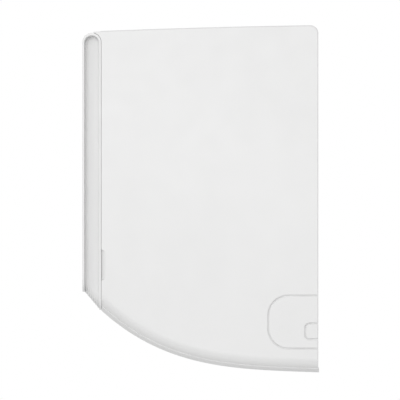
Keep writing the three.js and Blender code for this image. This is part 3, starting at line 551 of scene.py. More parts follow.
def break_out(front_y, low, high, radius):
    """The shallow line round a plate that is broken out for the pipes, open towards the wall."""
    def outline(grow):
        r = radius + grow
        rear = 2 * MM
        lower = arc((front_y + radius, low + radius), r, 180, 270, 14)
        upper = arc((front_y + radius, high - radius), r, 90, 180, 14)
        return [(rear, low - grow), (rear, high + grow), *upper, *lower]
    half = GROOVE_WIDTH / 2
    outer = extrude("groove", outline(half), END_X - GROOVE_DEPTH, END_X + MM)
    plate = extrude("plate", outline(-half), END_X - 2 * GROOVE_DEPTH, END_X + 2 * MM)
    return combine(outer, [plate])


def finger_notch():
    """A shallow finger notch behind the panel's edge, rounded over into the cover's face."""
    def outline(depth):
        return [
            (BODY_FRONT_Y - MM, NOTCH_LOW),
            *arc((BODY_FRONT_Y, NOTCH_LOW + depth), depth, 270, 360, 12),
            *arc((BODY_FRONT_Y, NOTCH_HIGH - depth), depth, 0, 90, 12),
            (BODY_FRONT_Y - MM, NOTCH_HIGH),
        ]
    sections = []
    steep, flat = math.radians(52), math.radians(8)
    for tilt in spaced(steep, flat, 9):
        depth = NOTCH_REACH * (math.sin(steep) - math.sin(tilt)) / (math.sin(steep) - math.sin(flat))
        sunk = NOTCH_SUNK * (math.cos(flat) - math.cos(tilt)) / (math.cos(flat) - math.cos(steep))
        sections.append((END_X - sunk, outline(max(depth, 0.05 * MM))))
    return loft("notch", sections + [(END_X + MM, outline(NOTCH_REACH))])


def cover_lift(d):
    """How far the cover's lower edge is raised, a distance inward of its end face."""
    return edge_lift(d, COVER_ROLL, COVER_TURN)


def side_cover():
    """The moulded end cover with its rolled lower edge, finger notch and break-out lines."""
    steps = {COVER_ROLL * (1 - math.cos(math.radians(a))) for a in spaced(0, COVER_TURN, 9)}
    sections = [(COVER_INNER_X, body_outline())]
    for d in sorted({*steps, *roll_steps(EDGE_ROLL)}, reverse=True):
        sections.append((END_X - d, body_outline(cover_lift(d), quarter(EDGE_ROLL, d))))
    cover = loft("end_cover_right", sections)
    floor = COVER_OFFSET + cover_lift(0) + WALL
    front = BODY_FRONT_Y + POCKET_INSET
    inner = [
        (BODY_REAR_Y - WALL, height(280)),
        (BODY_REAR_Y - REAR_CORNER_R, top_z(-10 * MM) - WALL),
        (front + 4 * MM, top_z(BODY_FRONT_Y) - 2 * WALL),
        (front, height(274)),
        *[(y, above_belly(y, floor)) for y in spaced(front, BODY_REAR_Y - WALL, 24)],
    ]
    pocket = extrude("pocket", inner, COVER_INNER_X - MM, END_X - FACE)
    lines = [
        break_out(-43.1 * MM, height(20.6), height(65.3), 17 * MM),
        break_out(-12 * MM, height(28.5), height(41.8), 4 * MM),
    ]
    return combine(cover, [pocket, finger_notch(), *lines])


def mirrored(obj, name):
    """A copy of an object on the other side of x = 0."""
    bm = bmesh.new()
    bm.from_mesh(obj.data)
    bmesh.ops.scale(bm, vec=(-1, 1, 1), verts=bm.verts)
    bmesh.ops.reverse_faces(bm, faces=bm.faces)
    return keep_object(name, bm)


def lower_shell():
    """The belly's curved sheet, drawn in at both ends and open where the louver closes it."""
    ys = spaced(BODY_FRONT_Y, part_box("lower_shell")[1].y, 72)

    def outline(lift):
        outer = [(y, above_belly(y, lift)) for y in ys]
        inner = [(y, above_belly(y, SHELL_THICKNESS)) for y in reversed(ys)]
        return outer + inner
    shell = both_ends("belly_shell", END_X, [(d * MM, outline(lift * MM)) for d, lift in SHELL_END])
    low = (-OUTLET_X, LOUVER_FRONT_Y - SEAM, height(-5))
    high = (OUTLET_X, LOUVER_FOOT_Y + LOUVER_REAR_GAP, height(60))
    opening = box("opening", low, high)
    bead = shaft("bead", -OUTLET_X, OUTLET_X, LOUVER_AXIS, LOUVER_BEAD_R + SEAM, 64)
    return combine(shell, [opening, bead])


def front_frame():
    """The inner front frame: top skin, nose, face with two filter windows and the grille's seat."""
    in_front, in_rear = BODY_FRONT_Y + WALL, BODY_REAR_Y - WALL
    foot, rear_foot = height(57.8), height(276)
    outline = top_outline() + [
        (BODY_FRONT_Y, foot), (in_front, foot), (in_front, height(284.5)),
        *[(y, top_z(y) - WALL) for y in spaced(in_front + MM, BODY_REAR_Y - REAR_CORNER_R, 12)],
        (in_rear, TOP_REAR_Z - REAR_CORNER_R), (in_rear, rear_foot), (BODY_REAR_Y, rear_foot),
    ]
    shell = extrude("inner_front_frame", outline, -FRAME_X, FRAME_X)
    axis_y, axis_z = PANEL_AXIS
    arm_half, eye_r, pin_bore_r = 2.2 * MM, 2.8 * MM, 1.5 * MM
    added, holes = [], []

    def along_y(name, x, z, deep, radius, before=MM):
        """A round bar from just before the frame's face to a depth behind it."""
        return bar(name, (x, BODY_FRONT_Y - before, z), (x, BODY_FRONT_Y + deep, z), radius)
    for side in (-1, 1):
        x0, x1 = side * HINGE_ARM_X - HINGE_ARM_HALF, side * HINGE_ARM_X + HINGE_ARM_HALF
        low, high = (x0, axis_y, axis_z - arm_half), (x1, BODY_FRONT_Y + MM, axis_z + arm_half)
        added.append(box("arm", low, high))
        added.append(shaft("eye", x0, x1, PANEL_AXIS, eye_r))
        added.append(along_y("boss", side * SCREW_X, SCREW_Z, 10 * MM, 7 * MM, -MM))
        for depth, radius in ((4, 4.6), (12, 2.2)):
            holes.append(along_y("hole", side * SCREW_X, SCREW_Z, depth * MM, radius * MM))
        holes.append(shaft("bore", x0 - MM, x1 + MM, PANEL_AXIS, pin_bore_r))
        xs = sorted((side * WINDOW_GAP, side * WINDOW_X))
        low = (xs[0], BODY_FRONT_Y - MM, WINDOW_LOW)
        holes.append(box("window", low, (xs[1], in_front + MM, WINDOW_HIGH)))
    holes.append(box("grille_seat", *GRILLE_SEAT))
    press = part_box("emergency_button")
    x, z = (press[0].x + press[1].x) / 2, (press[0].z + press[1].z) / 2
    holes.append(along_y("press", x, z, 4 * MM, 4.4 * MM))
    return combine(combine(shell, added, "UNION"), holes)


def top_grille():
    """Air intake grille: long slats across the unit, carried on narrow ribs."""
    low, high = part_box("top_intake_grille")
    border, slat, rib = 4 * MM, 1.8 * MM, 2.4 * MM
    rows, columns = 14, 12

    def sheet(name, x0, x1, y0, y1, sink, thick):
        ys = spaced(y1, y0, 3)
        upper = [(y, top_z(y) - sink) for y in ys]
        lower = [(y, top_z(y) - sink - thick) for y in reversed(ys)]
        return extrude(name, upper + lower, x0, x1)
    grille = sheet("intake_grille", low.x, high.x, low.y, high.y, 0.0, 4 * MM)
    x0, x1, y0, y1 = low.x + border, high.x - border, low.y + border, high.y - border
    grille = combine(grille, [box("inside", (x0, y0, low.z - MM), (x1, y1, high.z + MM))])
    bars = []
    for y in spaced(y0, y1, rows)[1:-1]:
        bars.append(sheet("slat", x0 - MM, x1 + MM, y - slat / 2, y + slat / 2, 0.3 * MM, 3.4 * MM))
    for x in spaced(x0, x1, columns)[1:-1]:
        bars.append(sheet("rib", x - rib / 2, x + rib / 2, y0 - MM, y1 + MM, 1.2 * MM, 2.6 * MM))
    return combine(grille, bars, "UNION")


# -------- front panel

PANEL_RIM = 0.35 * MM
FLOOR_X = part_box("panel_end_cap_right")[1].x  # floor of the recess in the panel's end
PLUG_DEPTH = 11 * MM  # how far the end cap reaches into the panel
DRAFT = 0.25 * MM  # taper of the walls that stand round the recess
LEAN_AT_REAR = 0.1  # slope of the recess's floor, and how it grows to the front
LEAN_GROWTH = 0.21
ARM_SLOT = 5.5 * MM  # half the width of the slot for a hinge arm
# the display window's opposite corners
LENS = ((300 * MM, height(96)), (360 * MM, height(112)))


def inner_crown(wall):
    return arc((PANEL_AXIS[0], PANEL_AXIS[1] - INNER_CROWN_DROP), PANEL_R - wall, 180, 0, 32)


def open_foot(draft):
    """The recess between the panel's standing end walls, open below."""
    below = 30 * MM
    wall = PANEL_WALL + draft
    rear, front = PANEL_REAR_Y - wall, PANEL_FRONT_Y + wall
    return inner_crown(wall) + [(rear, PANEL_REAR_LIP - below), (front, PANEL_REAR_LIP - below)]


def front_panel():
    """The hinged front panel: one long hollow moulding whose end walls stand round a recess."""
    steps = sorted({*roll_steps(PANEL_RIM, FOOT_REACH), FOOT_REACH, FOOT_REACH + FOOT_CHAMFER})
    ends = [(d, panel_outer(quarter(PANEL_RIM, d), foot_lift(d))) for d in steps]
    panel = both_ends("hinged_front_panel", END_X, ends)
    plug_x = FLOOR_X - PLUG_DEPTH
    tools = [extrude("hollow", panel_inner(), -plug_x - MM, plug_x + MM)]
    for side in (-1, 1):
        straight, flared = open_foot(DRAFT), open_foot(0.0)
        mouth = (side * (END_X + 0.5 * MM), flared)
        tools.append(loft("recess", [(side * plug_x, straight), (side * FLOOR_X, straight), mouth]))
        x = side * HINGE_ARM_X
        low = (x - ARM_SLOT, PANEL_AXIS[0] + 1.15 * MM, PANEL_AXIS[1] - 2.9 * MM)
        tools.append(box("arm_slot", low, (x + ARM_SLOT, -182 * MM, height(290))))
    (x0, z0), (x1, z1) = LENS
    high = (x1, PANEL_FRONT_Y + PANEL_WALL + MM, z1)
    tools.append(box("window", (x0, PANEL_FRONT_Y - MM, z0), high))
    return combine(panel, tools)


def lean_back(cap, front, rear):
    """Sinks the cap's end face along a shallow curve, deepest next to the panel's front wall."""
    bm = bmesh.new()
    bm.from_mesh(cap.data)
    for y in spaced(front, rear, 18)[1:-1]:
        everything = bm.verts[:] + bm.edges[:] + bm.faces[:]
        bmesh.ops.bisect_plane(bm, geom=everything, dist=1e-7, plane_co=(0, y, 0), plane_no=(0, 1, 0))
    for vert in bm.verts:
        t = (rear - vert.co.y) / (rear - front)
        sink = (rear - front) * (LEAN_AT_REAR * t + LEAN_GROWTH * t * t)
        vert.co.x -= sink * (1 - (FLOOR_X - vert.co.x) / PLUG_DEPTH)
    bm.to_mesh(cap.data)
    bm.free()
    return cap


def end_cap():
    """Closes the panel's end inside its standing walls, with a rolled lower edge and ribbed foot."""
    wall = PANEL_WALL + DRAFT
    rear, front = PANEL_REAR_Y - wall, PANEL_FRONT_Y + wall
    crown = inner_crown(wall)
    steps = {*roll_steps(FOOT_REACH), FOOT_REACH, FOOT_REACH + FOOT_CHAMFER, PLUG_DEPTH}
    sections = []
    for d in sorted(steps, reverse=True):
        sections.append((FLOOR_X - d, crown + ribbed_foot(front, rear, foot_lift(d), 84)))
    return lean_back(loft("panel_end_right", sections), front, rear)


# -------- louver

LOUVER_RIM = 0.8 * MM
LOUVER_PIN_X = 357.5 * MM
LOUVER_THIN = 2.6 * MM  # thickness at the front edge, and what the hinge side adds to it
LOUVER_SWELL = 10.6 * MM


def louver():
    """The long curved louver, thickest at its hinge bead, with its pivots."""
    count = 48
    ys = spaced(LOUVER_FOOT_Y, LOUVER_FRONT_Y, count)
    edge_x = OUTLET_X - SEAM

    def outline(roll):
        outer = [belly_point(y, roll) for y in ys]
        inner = []
        for i, y in enumerate(ys):
            thick = LOUVER_THIN + LOUVER_SWELL * (1 - i / count) ** 1.6
            inner.append(belly_point(y, thick - roll * 0.5))
        return outer + inner[::-1]
    ends = [(d, outline(quarter(LOUVER_RIM, d))) for d in reversed(roll_steps(LOUVER_RIM))]
    blade = both_ends("air_louver", edge_x, ends)
    bead = shaft("bead", -edge_x, edge_x, LOUVER_AXIS, LOUVER_BEAD_R, 64)
    pins = shaft("pins", -LOUVER_PIN_X, LOUVER_PIN_X, LOUVER_AXIS, 2 * MM, 24)
    return combine(blade, [bead, pins], "UNION")


# -------- filters

FILTER_LINE = [(-175.2, 86), (-175.2, 256), (-171.5, 264.5), (-161, 270), (-100, 272.6), (-34, 275)]
FILTER_X = (4 * MM, WINDOW_X)
FILTER_THICKNESS = 1.8 * MM
STRAND = 0.55 * MM
STRAND_PITCH = 3.6 * MM


def in_frame(points):
    """Turns (y, height) pairs in millimetres into the frame's own (y, z)."""
    return [(y * MM, height(h)) for y, h in points]


def ribbon(line, thickness):
    """The outline of a strip of even thickness along a line of (y, z) points."""
    sides = ([], [])
    for i, place in enumerate(line):
        here = Vector(place)
        before, after = Vector(line[max(i - 1, 0)]), Vector(line[min(i + 1, len(line) - 1)])
        into, out = (here - before).normalized(), (after - here).normalized()
        along = (into + out).normalized()
        single = into if into.length > 0 else out
        off = Vector((-along.y, along.x)) * thickness / 2 / max(along.dot(single), 0.5)
        sides[0].append(tuple(here + off))
        sides[1].append(tuple(here - off))
    return sides[0] + sides[1][::-1]


def steps_along(line, pitch):
    """Places every pitch along a line of (y, z) points, each with the line's direction there."""
    found, left = [], pitch / 2
    for start, end in zip(line, line[1:]):
        start, end = Vector(start), Vector(end)
        along = (end - start).normalized()
        while left < (end - start).length:
            found.append((start + along * left, along))
            left += pitch
        left -= (end - start).length
    return found


def across_line(place, along, width, thickness):
    """A small rectangle that lies on a line at a place."""
    return ribbon([place - along * width / 2, place + along * width / 2], thickness)


def air_filter(side, name):
    """A pull-out filter: a ribbed frame over a fine woven net, and its pull tab."""
    line = in_frame(FILTER_LINE)
    x0, x1 = sorted(side * x for x in FILTER_X)
    border, rib = 6 * MM, 2.2 * MM
    bm = bmesh.new()
    strip = ribbon(line, FILTER_THICKNESS)
    add_prism(bm, strip, x0, x0 + border)
    add_prism(bm, strip, x1 - border, x1)
    for x in spaced(x0, x1, 6)[1:-1]:
        add_prism(bm, strip, x - rib / 2, x + rib / 2)
    rows = [(place, along, rib) for place, along in steps_along(line, 40 * MM)]
    first, last = Vector(line[0]), Vector(line[-1])
    up, back = Vector((0, 1)), (last - Vector(line[-2])).normalized()
    rows += [(first + up * border / 2, up, border), (last - back * border / 2, back, border)]
    for place, along, width in rows:
        add_prism(bm, across_line(place, along, width, FILTER_THICKNESS), x0 + border, x1 - border)
    tab_x0, tab_x1 = (x0 + x1) / 2 - 18 * MM, (x0 + x1) / 2 + 18 * MM
    for y0, z0, z1 in ((-178.6, 99, 101), (-177.6, 101, 104), (-178.6, 104, 106)):
        add_box(bm, (tab_x0, y0 * MM, height(z0)), (tab_x1, -175 * MM, height(z1)))
    return keep_object(name, bm, weld=False)


def filter_net(side, name):
    """The woven net of one filter, strand by strand."""
    line = in_frame(FILTER_LINE)
    x0, x1 = sorted(side * x for x in FILTER_X)
    bm = bmesh.new()
    warp = ribbon(line, STRAND)
    for x in spaced(x0 + STRAND_PITCH, x1 - STRAND_PITCH, int((x1 - x0) / STRAND_PITCH)):
        add_prism(bm, warp, x - STRAND / 2, x + STRAND / 2)
    for place, along in steps_along(line, STRAND_PITCH):
        over = Vector((-along.y, along.x)) * STRAND * 0.6
        add_prism(bm, across_line(place + over, along, STRAND, STRAND), x0 + MM, x1 - MM)
    return keep_object(name, bm, weld=False)


# -------- coils and pipes

COIL_X = 336.5 * MM
COIL_THICKNESS = 22 * MM
FIN_PITCH = 2.2 * MM
FIN_THICKNESS = 0.5 * MM
TUBE_R = 2.9 * MM
BEND_R = 9.5 * MM
# each coil's lower and upper end as (y, height), and its tubes' places along it, in millimetres
COILS = {
    "coil_front_lower": ((-160, 86), (-160, 176), (14, 45, 76)),
    "coil_front_upper": ((-158, 190), (-117, 258), (20, 58)),
    "coil_rear": ((-44, 176), (-96, 252), (62,)),
}


def fin_stack(name, low, high):
    """A coil's stack of thin fins, each crimped a little at its edges."""
    line = in_frame((low, high))
    bm = bmesh.new()
    full, inner = ribbon(line, COIL_THICKNESS), ribbon(line, COIL_THICKNESS - 3 * MM)
    for i, x in enumerate(spaced(-COIL_X, COIL_X - FIN_THICKNESS, round(2 * COIL_X / FIN_PITCH))):
        add_prism(bm, full if i % 2 == 0 else inner, x, x + FIN_THICKNESS)
    return keep_object(name, bm, weld=False)


def coil_tubes(name, low, high, places):
    """A coil's copper tubes, right through the fins, with a return bend at each end."""
    start, end = (Vector(p) for p in in_frame((low, high)))
    along = (end - start).normalized()
    parts = []
    for place in places:
        middle = start + along * place * MM
        loop = []
        for side in (1, -1):
            for angle in spaced(0, 180, 12):
                turn = math.radians(angle if side > 0 else angle + 180)
                off = middle + along * BEND_R * math.cos(turn)
                out = side * COIL_X + (BEND_R - TUBE_R) * math.sin(turn)
                loop.append(Vector((out, off.x, off.y)))
        parts.append(swept("tube", loop, lambda at: TUBE_R, 16, closed=True))
    return gather(name, parts)


def smooth_route(points, pitch):
    """Evenly spaced points along a smooth curve through (x, y, height) points in millimetres."""
    places = [Vector((x * MM, y * MM, height(h))) for x, y, h in points]
    places = [2 * places[0] - places[1], *places, 2 * places[-1] - places[-2]]
    fine = [places[1]]
    for p0, p1, p2, p3 in zip(places, places[1:], places[2:], places[3:]):
        d0, d1, d2 = ((b - a).length ** 0.5 for a, b in ((p0, p1), (p1, p2), (p2, p3)))
        leave = ((p1 - p0) / d0 - (p2 - p0) / (d0 + d1) + (p2 - p1) / d1) * d1
        arrive = ((p2 - p1) / d1 - (p3 - p1) / (d1 + d2) + (p3 - p2) / d2) * d1
        for t in spaced(0, 1, 40)[1:]:
            fine.append(
                p1 * (2 * t ** 3 - 3 * t ** 2 + 1) + leave * (t ** 3 - 2 * t ** 2 + t)
                + p2 * (3 * t ** 2 - 2 * t ** 3) + arrive * (t ** 3 - t ** 2)
            )
    even, left = [fine[0]], pitch
    for start, end in zip(fine, fine[1:]):
        length = (end - start).length
        while left <= length:
            even.append(start.lerp(end, left / length))
            left += pitch
        left -= length
    return even + [fine[-1]] if (even[-1] - fine[-1]).length > pitch / 4 else even


def swept(name, line, radius, sides=24, closed=False):
    """A tube along a line of points; its radius is a function of the distance along it."""
    bm = bmesh.new()
    rings, at, normal = [], 0.0, None
    for i, place in enumerate(line):
        before = line[i - 1] if i > 0 or closed else place
        after = line[(i + 1) % len(line)] if i < len(line) - 1 or closed else place
        ahead = (after - before).normalized()
        normal = normal if normal is not None else ahead.orthogonal()
        normal = (normal - ahead * normal.dot(ahead)).normalized()
        across = ahead.cross(normal)
        turns = [2 * math.pi * k / sides for k in range(sides)]
        size = radius(at)
        ring = [place + (normal * math.cos(a) + across * math.sin(a)) * size for a in turns]
        rings.append([bm.verts.new(p) for p in ring])
        at += (after - place).length
    skin(bm, rings, closed)
    return keep_object(name, bm)


def gather(name, objects):
    """One object that holds the others' meshes."""
    bm = bmesh.new()
    for obj in objects:
        bm.from_mesh(obj.data)
        bpy.data.objects.remove(obj)
    return keep_object(name, bm, weld=False)


GAS_Y, LIQUID_Y, HOSE_Y = -20, -31, -18  # depths in millimetres, with the routes
GAS_R, LIQUID_R, HOSE_R = 6.35 * MM, 3.2 * MM, 7.4 * MM
GAS_ROUTE = [
    (337, -64.5, 206), (356, -64.5, 206), (368, -60.5, 199), (374, -48.5, 178), (374, -34, 150),
    (374, -26, 120), (374, -23, 86), (370, GAS_Y, 64), (352, GAS_Y, 51),
    (328, GAS_Y, 50), (200, GAS_Y, 50), (92, GAS_Y, 50),
]
LIQUID_ROUTE = [
    (337, -53.6, 190), (357, -53.6, 190), (361, -48.6, 181), (361, -44, 160), (361, -36, 128),
    (361, LIQUID_Y, 92), (361, LIQUID_Y, 58), (356, LIQUID_Y, 40), (338, LIQUID_Y, 33),
    (200, LIQUID_Y, 33), (122, LIQUID_Y, 33),
]
HOSE_ROUTE = [
    (363.2, -158, 73), (371, -158, 72), (380, -157, 61), (384, -140, 47), (385, -110, 33),
    (384, -80, 23), (378, -48, 17), (364, -27, 16), (344, HOSE_Y, 15.5), (300, HOSE_Y, 15),
    (104, HOSE_Y, 15),
]


def ridged(at):
    """The drain hose's radius: rounded ridges, with a plain cuff at its start."""
    cuff, pitch, depth = 14 * MM, 4.2 * MM, 1.1 * MM
    if at < cuff:
        return HOSE_R
    return HOSE_R - depth * (0.5 - 0.5 * math.cos(2 * math.pi * (at - cuff) / pitch))


def drain_hose():
    """The ridged drain hose with its open mouth."""
    hose = swept("ridged_drain_hose", smooth_route(HOSE_ROUTE, 0.7 * MM), ridged, 28)
    x, y, h = HOSE_ROUTE[-1]
    mouth = shaft("bore", x * MM - MM, x * MM + 14 * MM, (y * MM, height(h)), 5.2 * MM, 28)
    return combine(hose, [mouth])


def flare_nut(name, x0, x1, centre, radius, bore):
    """A hexagonal nut with chamfered corners, a round collar and an open bore, along X."""
    y, z = centre[0] * MM, height(centre[1])

    def outline(limit, count=72):
        points = []
        for i in range(count):
            angle = 2 * math.pi * i / count
            flat = radius * math.cos(math.pi / 6) / math.cos((angle % (math.pi / 3)) - math.pi / 6)
            size = min(flat, limit)
            points.append((y + size * math.cos(angle), z + size * math.sin(angle)))
        return points
    hex_end, chamfer = x1 - 9 * MM, 1.6 * MM
    small, collar = 0.88 * radius, 0.76 * radius
    profile = [
        (x0, small), (x0 + chamfer, radius), (hex_end - chamfer, radius), (hex_end, small),
        (hex_end + 0.4 * MM, collar), (x1 - MM, collar), (x1, collar - 0.8 * MM),
    ]
    nut = loft(name, [(x, outline(limit)) for x, limit in profile])
    return combine(nut, [shaft("bore", x0 + 5 * MM, x1 + MM, (y, z), bore)])


# -------- fan

FAN_CENTRE = (-88 * MM, height(98))
FAN_R = 46 * MM
FAN_X = (-343 * MM, 340 * MM)
FAN_BLADES = 35
FAN_SECTIONS = 8


def crossflow_wheel():
    """The long fan wheel: curved blades between end discs, stiffened by thin rings."""
    bm = bmesh.new()
    for i in range(FAN_BLADES):
        start = 360 * i / FAN_BLADES
        line = []
        for t in spaced(0, 1, 7):
            turn = math.radians(start + 15 * t ** 1.5)
            reach = FAN_R - 0.8 * MM - 11.5 * MM * t
            line.append((FAN_CENTRE[0] + reach * math.cos(turn), FAN_CENTRE[1] + reach * math.sin(turn)))
        add_prism(bm, ribbon(line, 0.9 * MM), FAN_X[0] + MM, FAN_X[1] - MM)
    blades = keep_object("blades", bm, weld=False)
    disc, ring = 3 * MM, 1.6 * MM
    x0, x1 = FAN_X
    left, right = (shaft("disc", x, x + disc, FAN_CENTRE, FAN_R, 72) for x in (x0, x1 - disc))
    rings = []
    for x in spaced(x0 + disc, x1 - disc, FAN_SECTIONS)[1:-1]:
        outer = shaft("ring", x - ring / 2, x + ring / 2, FAN_CENTRE, FAN_R, 72)
        inner = shaft("inner", x - ring, x + ring, FAN_CENTRE, FAN_R - 13 * MM, 72)
        rings.append(combine(outer, [inner]))
    hub = shaft("hub", x1 - disc, x1 + 8 * MM, FAN_CENTRE, 11 * MM, 48)
    bore = shaft("bore", x1 - 5 * MM, x1 + 9 * MM, FAN_CENTRE, 4.4 * MM)
    right = combine(combine(right, [hub], "UNION"), [bore])
    stub = shaft("stub", x0 - 16 * MM, x0 + MM, FAN_CENTRE, 4 * MM)
    left = combine(left, [stub], "UNION")
    return gather("fan_wheel", [blades, left, right, *rings])


# -------- behind the unit

PLATE_X, PLATE_LOW, PLATE_HIGH = 300 * MM, height(96), height(262)
PLATE_Y = (-1.8 * MM, -0.6 * MM)
HOOK_X, HOOK_Z = 200 * MM, height(264)
CLIP_X = 240 * MM
BEAD_R = 4 * MM


def pill(x0, x1, z0, z1, radius, grow=0.0):
    """A rectangle with round corners in the (x, z) plane, made larger by grow."""
    r = radius + grow
    corners = (
        (x1 - radius, z1 - radius, 0), (x0 + radius, z1 - radius, 90),
        (x0 + radius, z0 + radius, 180), (x1 - radius, z0 + radius, 270),
    )
    return [p for x, z, start in corners for p in arc((x, z), r, start, start + 90, 8)]


def mounting_plate():
    """The steel wall plate with pressed beads, screw holes and slots, hooks and lower clips."""
    front, back = PLATE_Y
    outline = pill(-PLATE_X, PLATE_X, PLATE_LOW, PLATE_HIGH, 16 * MM)
    sheet = upright("wall_plate", (front, outline), (back, outline))
    pressed, sunk = [], []
    for z in (PLATE_LOW + 12 * MM, (PLATE_LOW + PLATE_HIGH) / 2 + 14 * MM, PLATE_HIGH - 12 * MM):
        for x0, x1 in ((-282, -132), (-122, 28), (38, 122)):
            bead = (x0 * MM, x1 * MM, z - BEAD_R, z + BEAD_R, BEAD_R - 0.1 * MM)
            low, top = pill(*bead), pill(*bead, -1.4 * MM)
            pressed.append(upright("bead", (front + 0.2 * MM, low), (front - 1.2 * MM, top)))
            sunk.append(upright("sunk", (back + 0.5 * MM, low), (back - 0.7 * MM, top)))
    holes = []
    for x in spaced(-270 * MM, 270 * MM, 12):
        for h in (120, 179, 238):
            holes.append(bar("hole", (x, -4 * MM, height(h)), (x, MM, height(h)), 3.2 * MM, 24))
    for x in (-235, -80, 80, 235):
        for h in (141, 217):
            slot = pill((x - 14) * MM, (x + 14) * MM, height(h - 3), height(h + 3), 2.9 * MM)
            holes.append(upright("slot", (-4 * MM, slot), (MM, slot)))
    plate = combine(combine(sheet, [gather("pressed", pressed)], "UNION"), [gather("sunk", sunk)])
    plate = combine(plate, [gather("holes", holes)])
    lugs = []
    for side in (-1, 1):
        x0, x1 = side * HOOK_X - 9 * MM, side * HOOK_X + 9 * MM
        corner = (x0, -15 * MM, HOOK_Z - 3 * MM)
        lugs.append((corner, (x1, back, HOOK_Z - 0.5 * MM)))
        lugs.append((corner, (x1, -12.8 * MM, HOOK_Z + 7 * MM)))
        x0, x1 = side * CLIP_X - 8 * MM, side * CLIP_X + 8 * MM
        lugs.append(((x0, -6 * MM, PLATE_LOW - 4 * MM), (x1, back, PLATE_LOW + MM)))
    return combine(plate, [box("lug", low, high) for low, high in lugs], "UNION")


def rear_ribs():
    """The stiffening ribs moulded on the back of the chassis's rear wall."""
    bm = bmesh.new()
    rib, y0, y1 = 1.6 * MM, -8.2 * MM, -4.6 * MM
    for x in spaced(-357.5 * MM, 357.5 * MM, 11):
        add_box(bm, (x - rib / 2, y0, height(156)), (x + rib / 2, y1, height(283)))
    for h in (176, 214, 250):
        add_box(bm, (-396 * MM, y0, height(h) - rib / 2), (396 * MM, y1, height(h) + rib / 2))
    return keep_object("rear_wall_ribs", bm, weld=False)


# -------- the pieces, and what they stand for


def both_hands(right, left_name, body, node):
    """Declares a right-hand shell and its mirror image."""
    left = mirrored(right, left_name)
    piece(smooth(right), body, "white_shell", f"{node}_right")
    piece(smooth(left), body, "white_shell", f"{node}_left")


dress_frame()
both_hands(side_cover(), "end_cover_left", "unit", "side_cover")
piece(smooth(lower_shell()), "unit", "white_shell", "lower_shell")
piece(smooth(front_frame()), "unit", "white_shell", "front_frame")
piece(smooth(top_grille()), "unit", "white_shell", "top_intake_grille")
piece(smooth(front_panel()), "panel", "white_shell", "front_panel")
both_hands(end_cap(), "panel_end_left", "panel", "panel_end_cap")
piece(smooth(louver()), "louver", "white_shell", "main_louver")

for side, hand in ((-1, "left"), (1, "right")):
    body, node = f"filter_{hand}", f"air_filter_{hand}"
    piece(air_filter(side, f"filter_frame_{hand}"), body, "filter_net", node)
    piece(filter_net(side, f"filter_net_{hand}"), body, "filter_net", node)
for node, (low, high, places) in COILS.items():
    piece(fin_stack(f"{node}_fins", low, high), "unit", "coil_fin", node)
    piece(smooth(coil_tubes(f"{node}_tubes", low, high, places), 60), "unit", "copper_pipe", node)
gas = swept("suction_pipe", smooth_route(GAS_ROUTE, 3 * MM), lambda at: GAS_R, 32)
liquid = swept("liquid_line", smooth_route(LIQUID_ROUTE, 3 * MM), lambda at: LIQUID_R, 24)
piece(smooth(gas, 60), "unit", "copper_pipe", "gas_pipe")
piece(smooth(liquid, 60), "unit", "copper_pipe", "liquid_pipe")
piece(smooth(drain_hose(), 60), "unit", "hose_plastic", "drain_hose")
gas_nut = flare_nut("gas_hex_nut", 70 * MM, 97 * MM, (GAS_Y, 50), 13 * MM, 6.8 * MM)
liquid_nut = flare_nut("liquid_hex_nut", 102 * MM, 126 * MM, (LIQUID_Y, 33), 9 * MM, 3.6 * MM)
piece(smooth(gas_nut, 20), "unit", "brass_nut", "gas_flare_nut")
piece(smooth(liquid_nut, 20), "unit", "brass_nut", "liquid_flare_nut")
piece(smooth(crossflow_wheel(), 50), "fan", "black_plastic", "crossflow_fan")
piece(smooth(mounting_plate(), 25), "unit", "sheet_steel", "mounting_plate")
piece(rear_ribs(), "unit", "inner_plastic")

# -------- floor, light and camera

CENTRE = (cad_low + cad_high) / 2
FLOOR_DROP = 2.2
FLOOR_RADIUS = 9.0
# how white the surroundings are at a direction's rise, from straight down to straight up
WORLD_STOPS = [(-1.0, 0.08), (-0.25, 0.12), (-0.1, 1.0), (0.1, 1.0), (0.25, 0.5), (1.0, 0.42)]


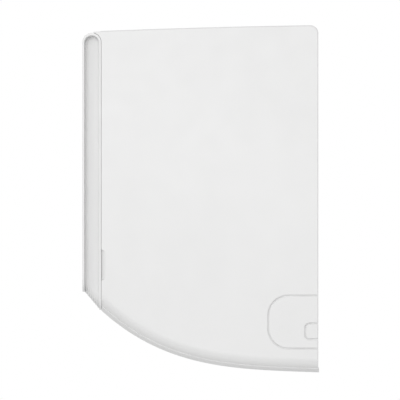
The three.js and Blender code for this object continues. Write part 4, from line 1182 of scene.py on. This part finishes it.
def studio_floor():
    """A plain pale floor with a rounded edge, well under the wall unit."""
    bm = bmesh.new()
    bmesh.ops.create_circle(bm, cap_ends=True, segments=96, radius=FLOOR_RADIUS)
    floor = keep_object("studio_floor", bm)
    floor.location = (CENTRE.x, CENTRE.y, CENTRE.z - FLOOR_DROP)
    made, tree, shader = material("pale_floor", (0.8, 0.8, 0.8), 0.8)
    tint = ramp(tree, noise(tree, 1.5), (0.78, 0.78, 0.78), (0.82, 0.82, 0.82))
    tree.links.new(tint, shader.inputs["Base Color"])
    floor.data.materials.append(made)


def studio_world():
    """White round the horizon, a little darker overhead and darker still underneath."""
    world = bpy.data.worlds.new("studio")
    world.use_nodes = True
    bpy.context.scene.world = world
    tree = world.node_tree
    place, parts = add_node(tree, "TexCoord", {}), add_node(tree, "SeparateXYZ", {})
    tree.links.new(place.outputs["Generated"], parts.inputs["Vector"])
    shade = add_node(tree, "ValToRGB", {})
    tree.links.new(spread(tree, parts.outputs["Z"], 0.0, 1.0, -1.0, 1.0), shade.inputs["Fac"])
    stops = shade.color_ramp.elements
    while len(stops) < len(WORLD_STOPS):
        stops.new(0.5)
    for stop, (rise_z, grey) in zip(stops, WORLD_STOPS):
        stop.position = (rise_z + 1) / 2
        stop.color = (grey, grey, grey, 1.0)
    tree.links.new(shade.outputs["Color"], tree.nodes["Background"].inputs["Color"])


def area_light(name, place, size, power):
    """A soft square light that faces the object."""
    lamp = bpy.data.lights.new(name, "AREA")
    lamp.shape = "SQUARE"
    lamp.size = size
    lamp.energy = power
    obj = linked(name, lamp)
    obj.location = CENTRE + Vector(place)
    obj.rotation_euler = Vector(place).to_track_quat("Z", "Y").to_euler()


def studio_camera():
    """Looks straight at the end face along the unit's length."""
    distance, frame_height = 2.0, 337.3 * MM
    camera = bpy.data.cameras.new("camera")
    camera.sensor_width = 36.0
    camera.lens = camera.sensor_width * distance / frame_height
    camera.clip_end = 50
    obj = linked("camera", camera)
    obj.location = (END_X + distance, CENTRE.y - 0.65 * MM, CENTRE.z - 0.75 * MM)
    obj.rotation_euler = (math.radians(90), 0, math.radians(90))
    bpy.context.scene.camera = obj


studio_floor()
studio_world()
area_light("key", (2.9, -0.2, 0.5), 1.6, 28.6)
area_light("fill", (-1.4, -2.3, 1.9), 1.6, 26)
studio_camera()
bpy.context.scene.view_settings.view_transform = "Standard"
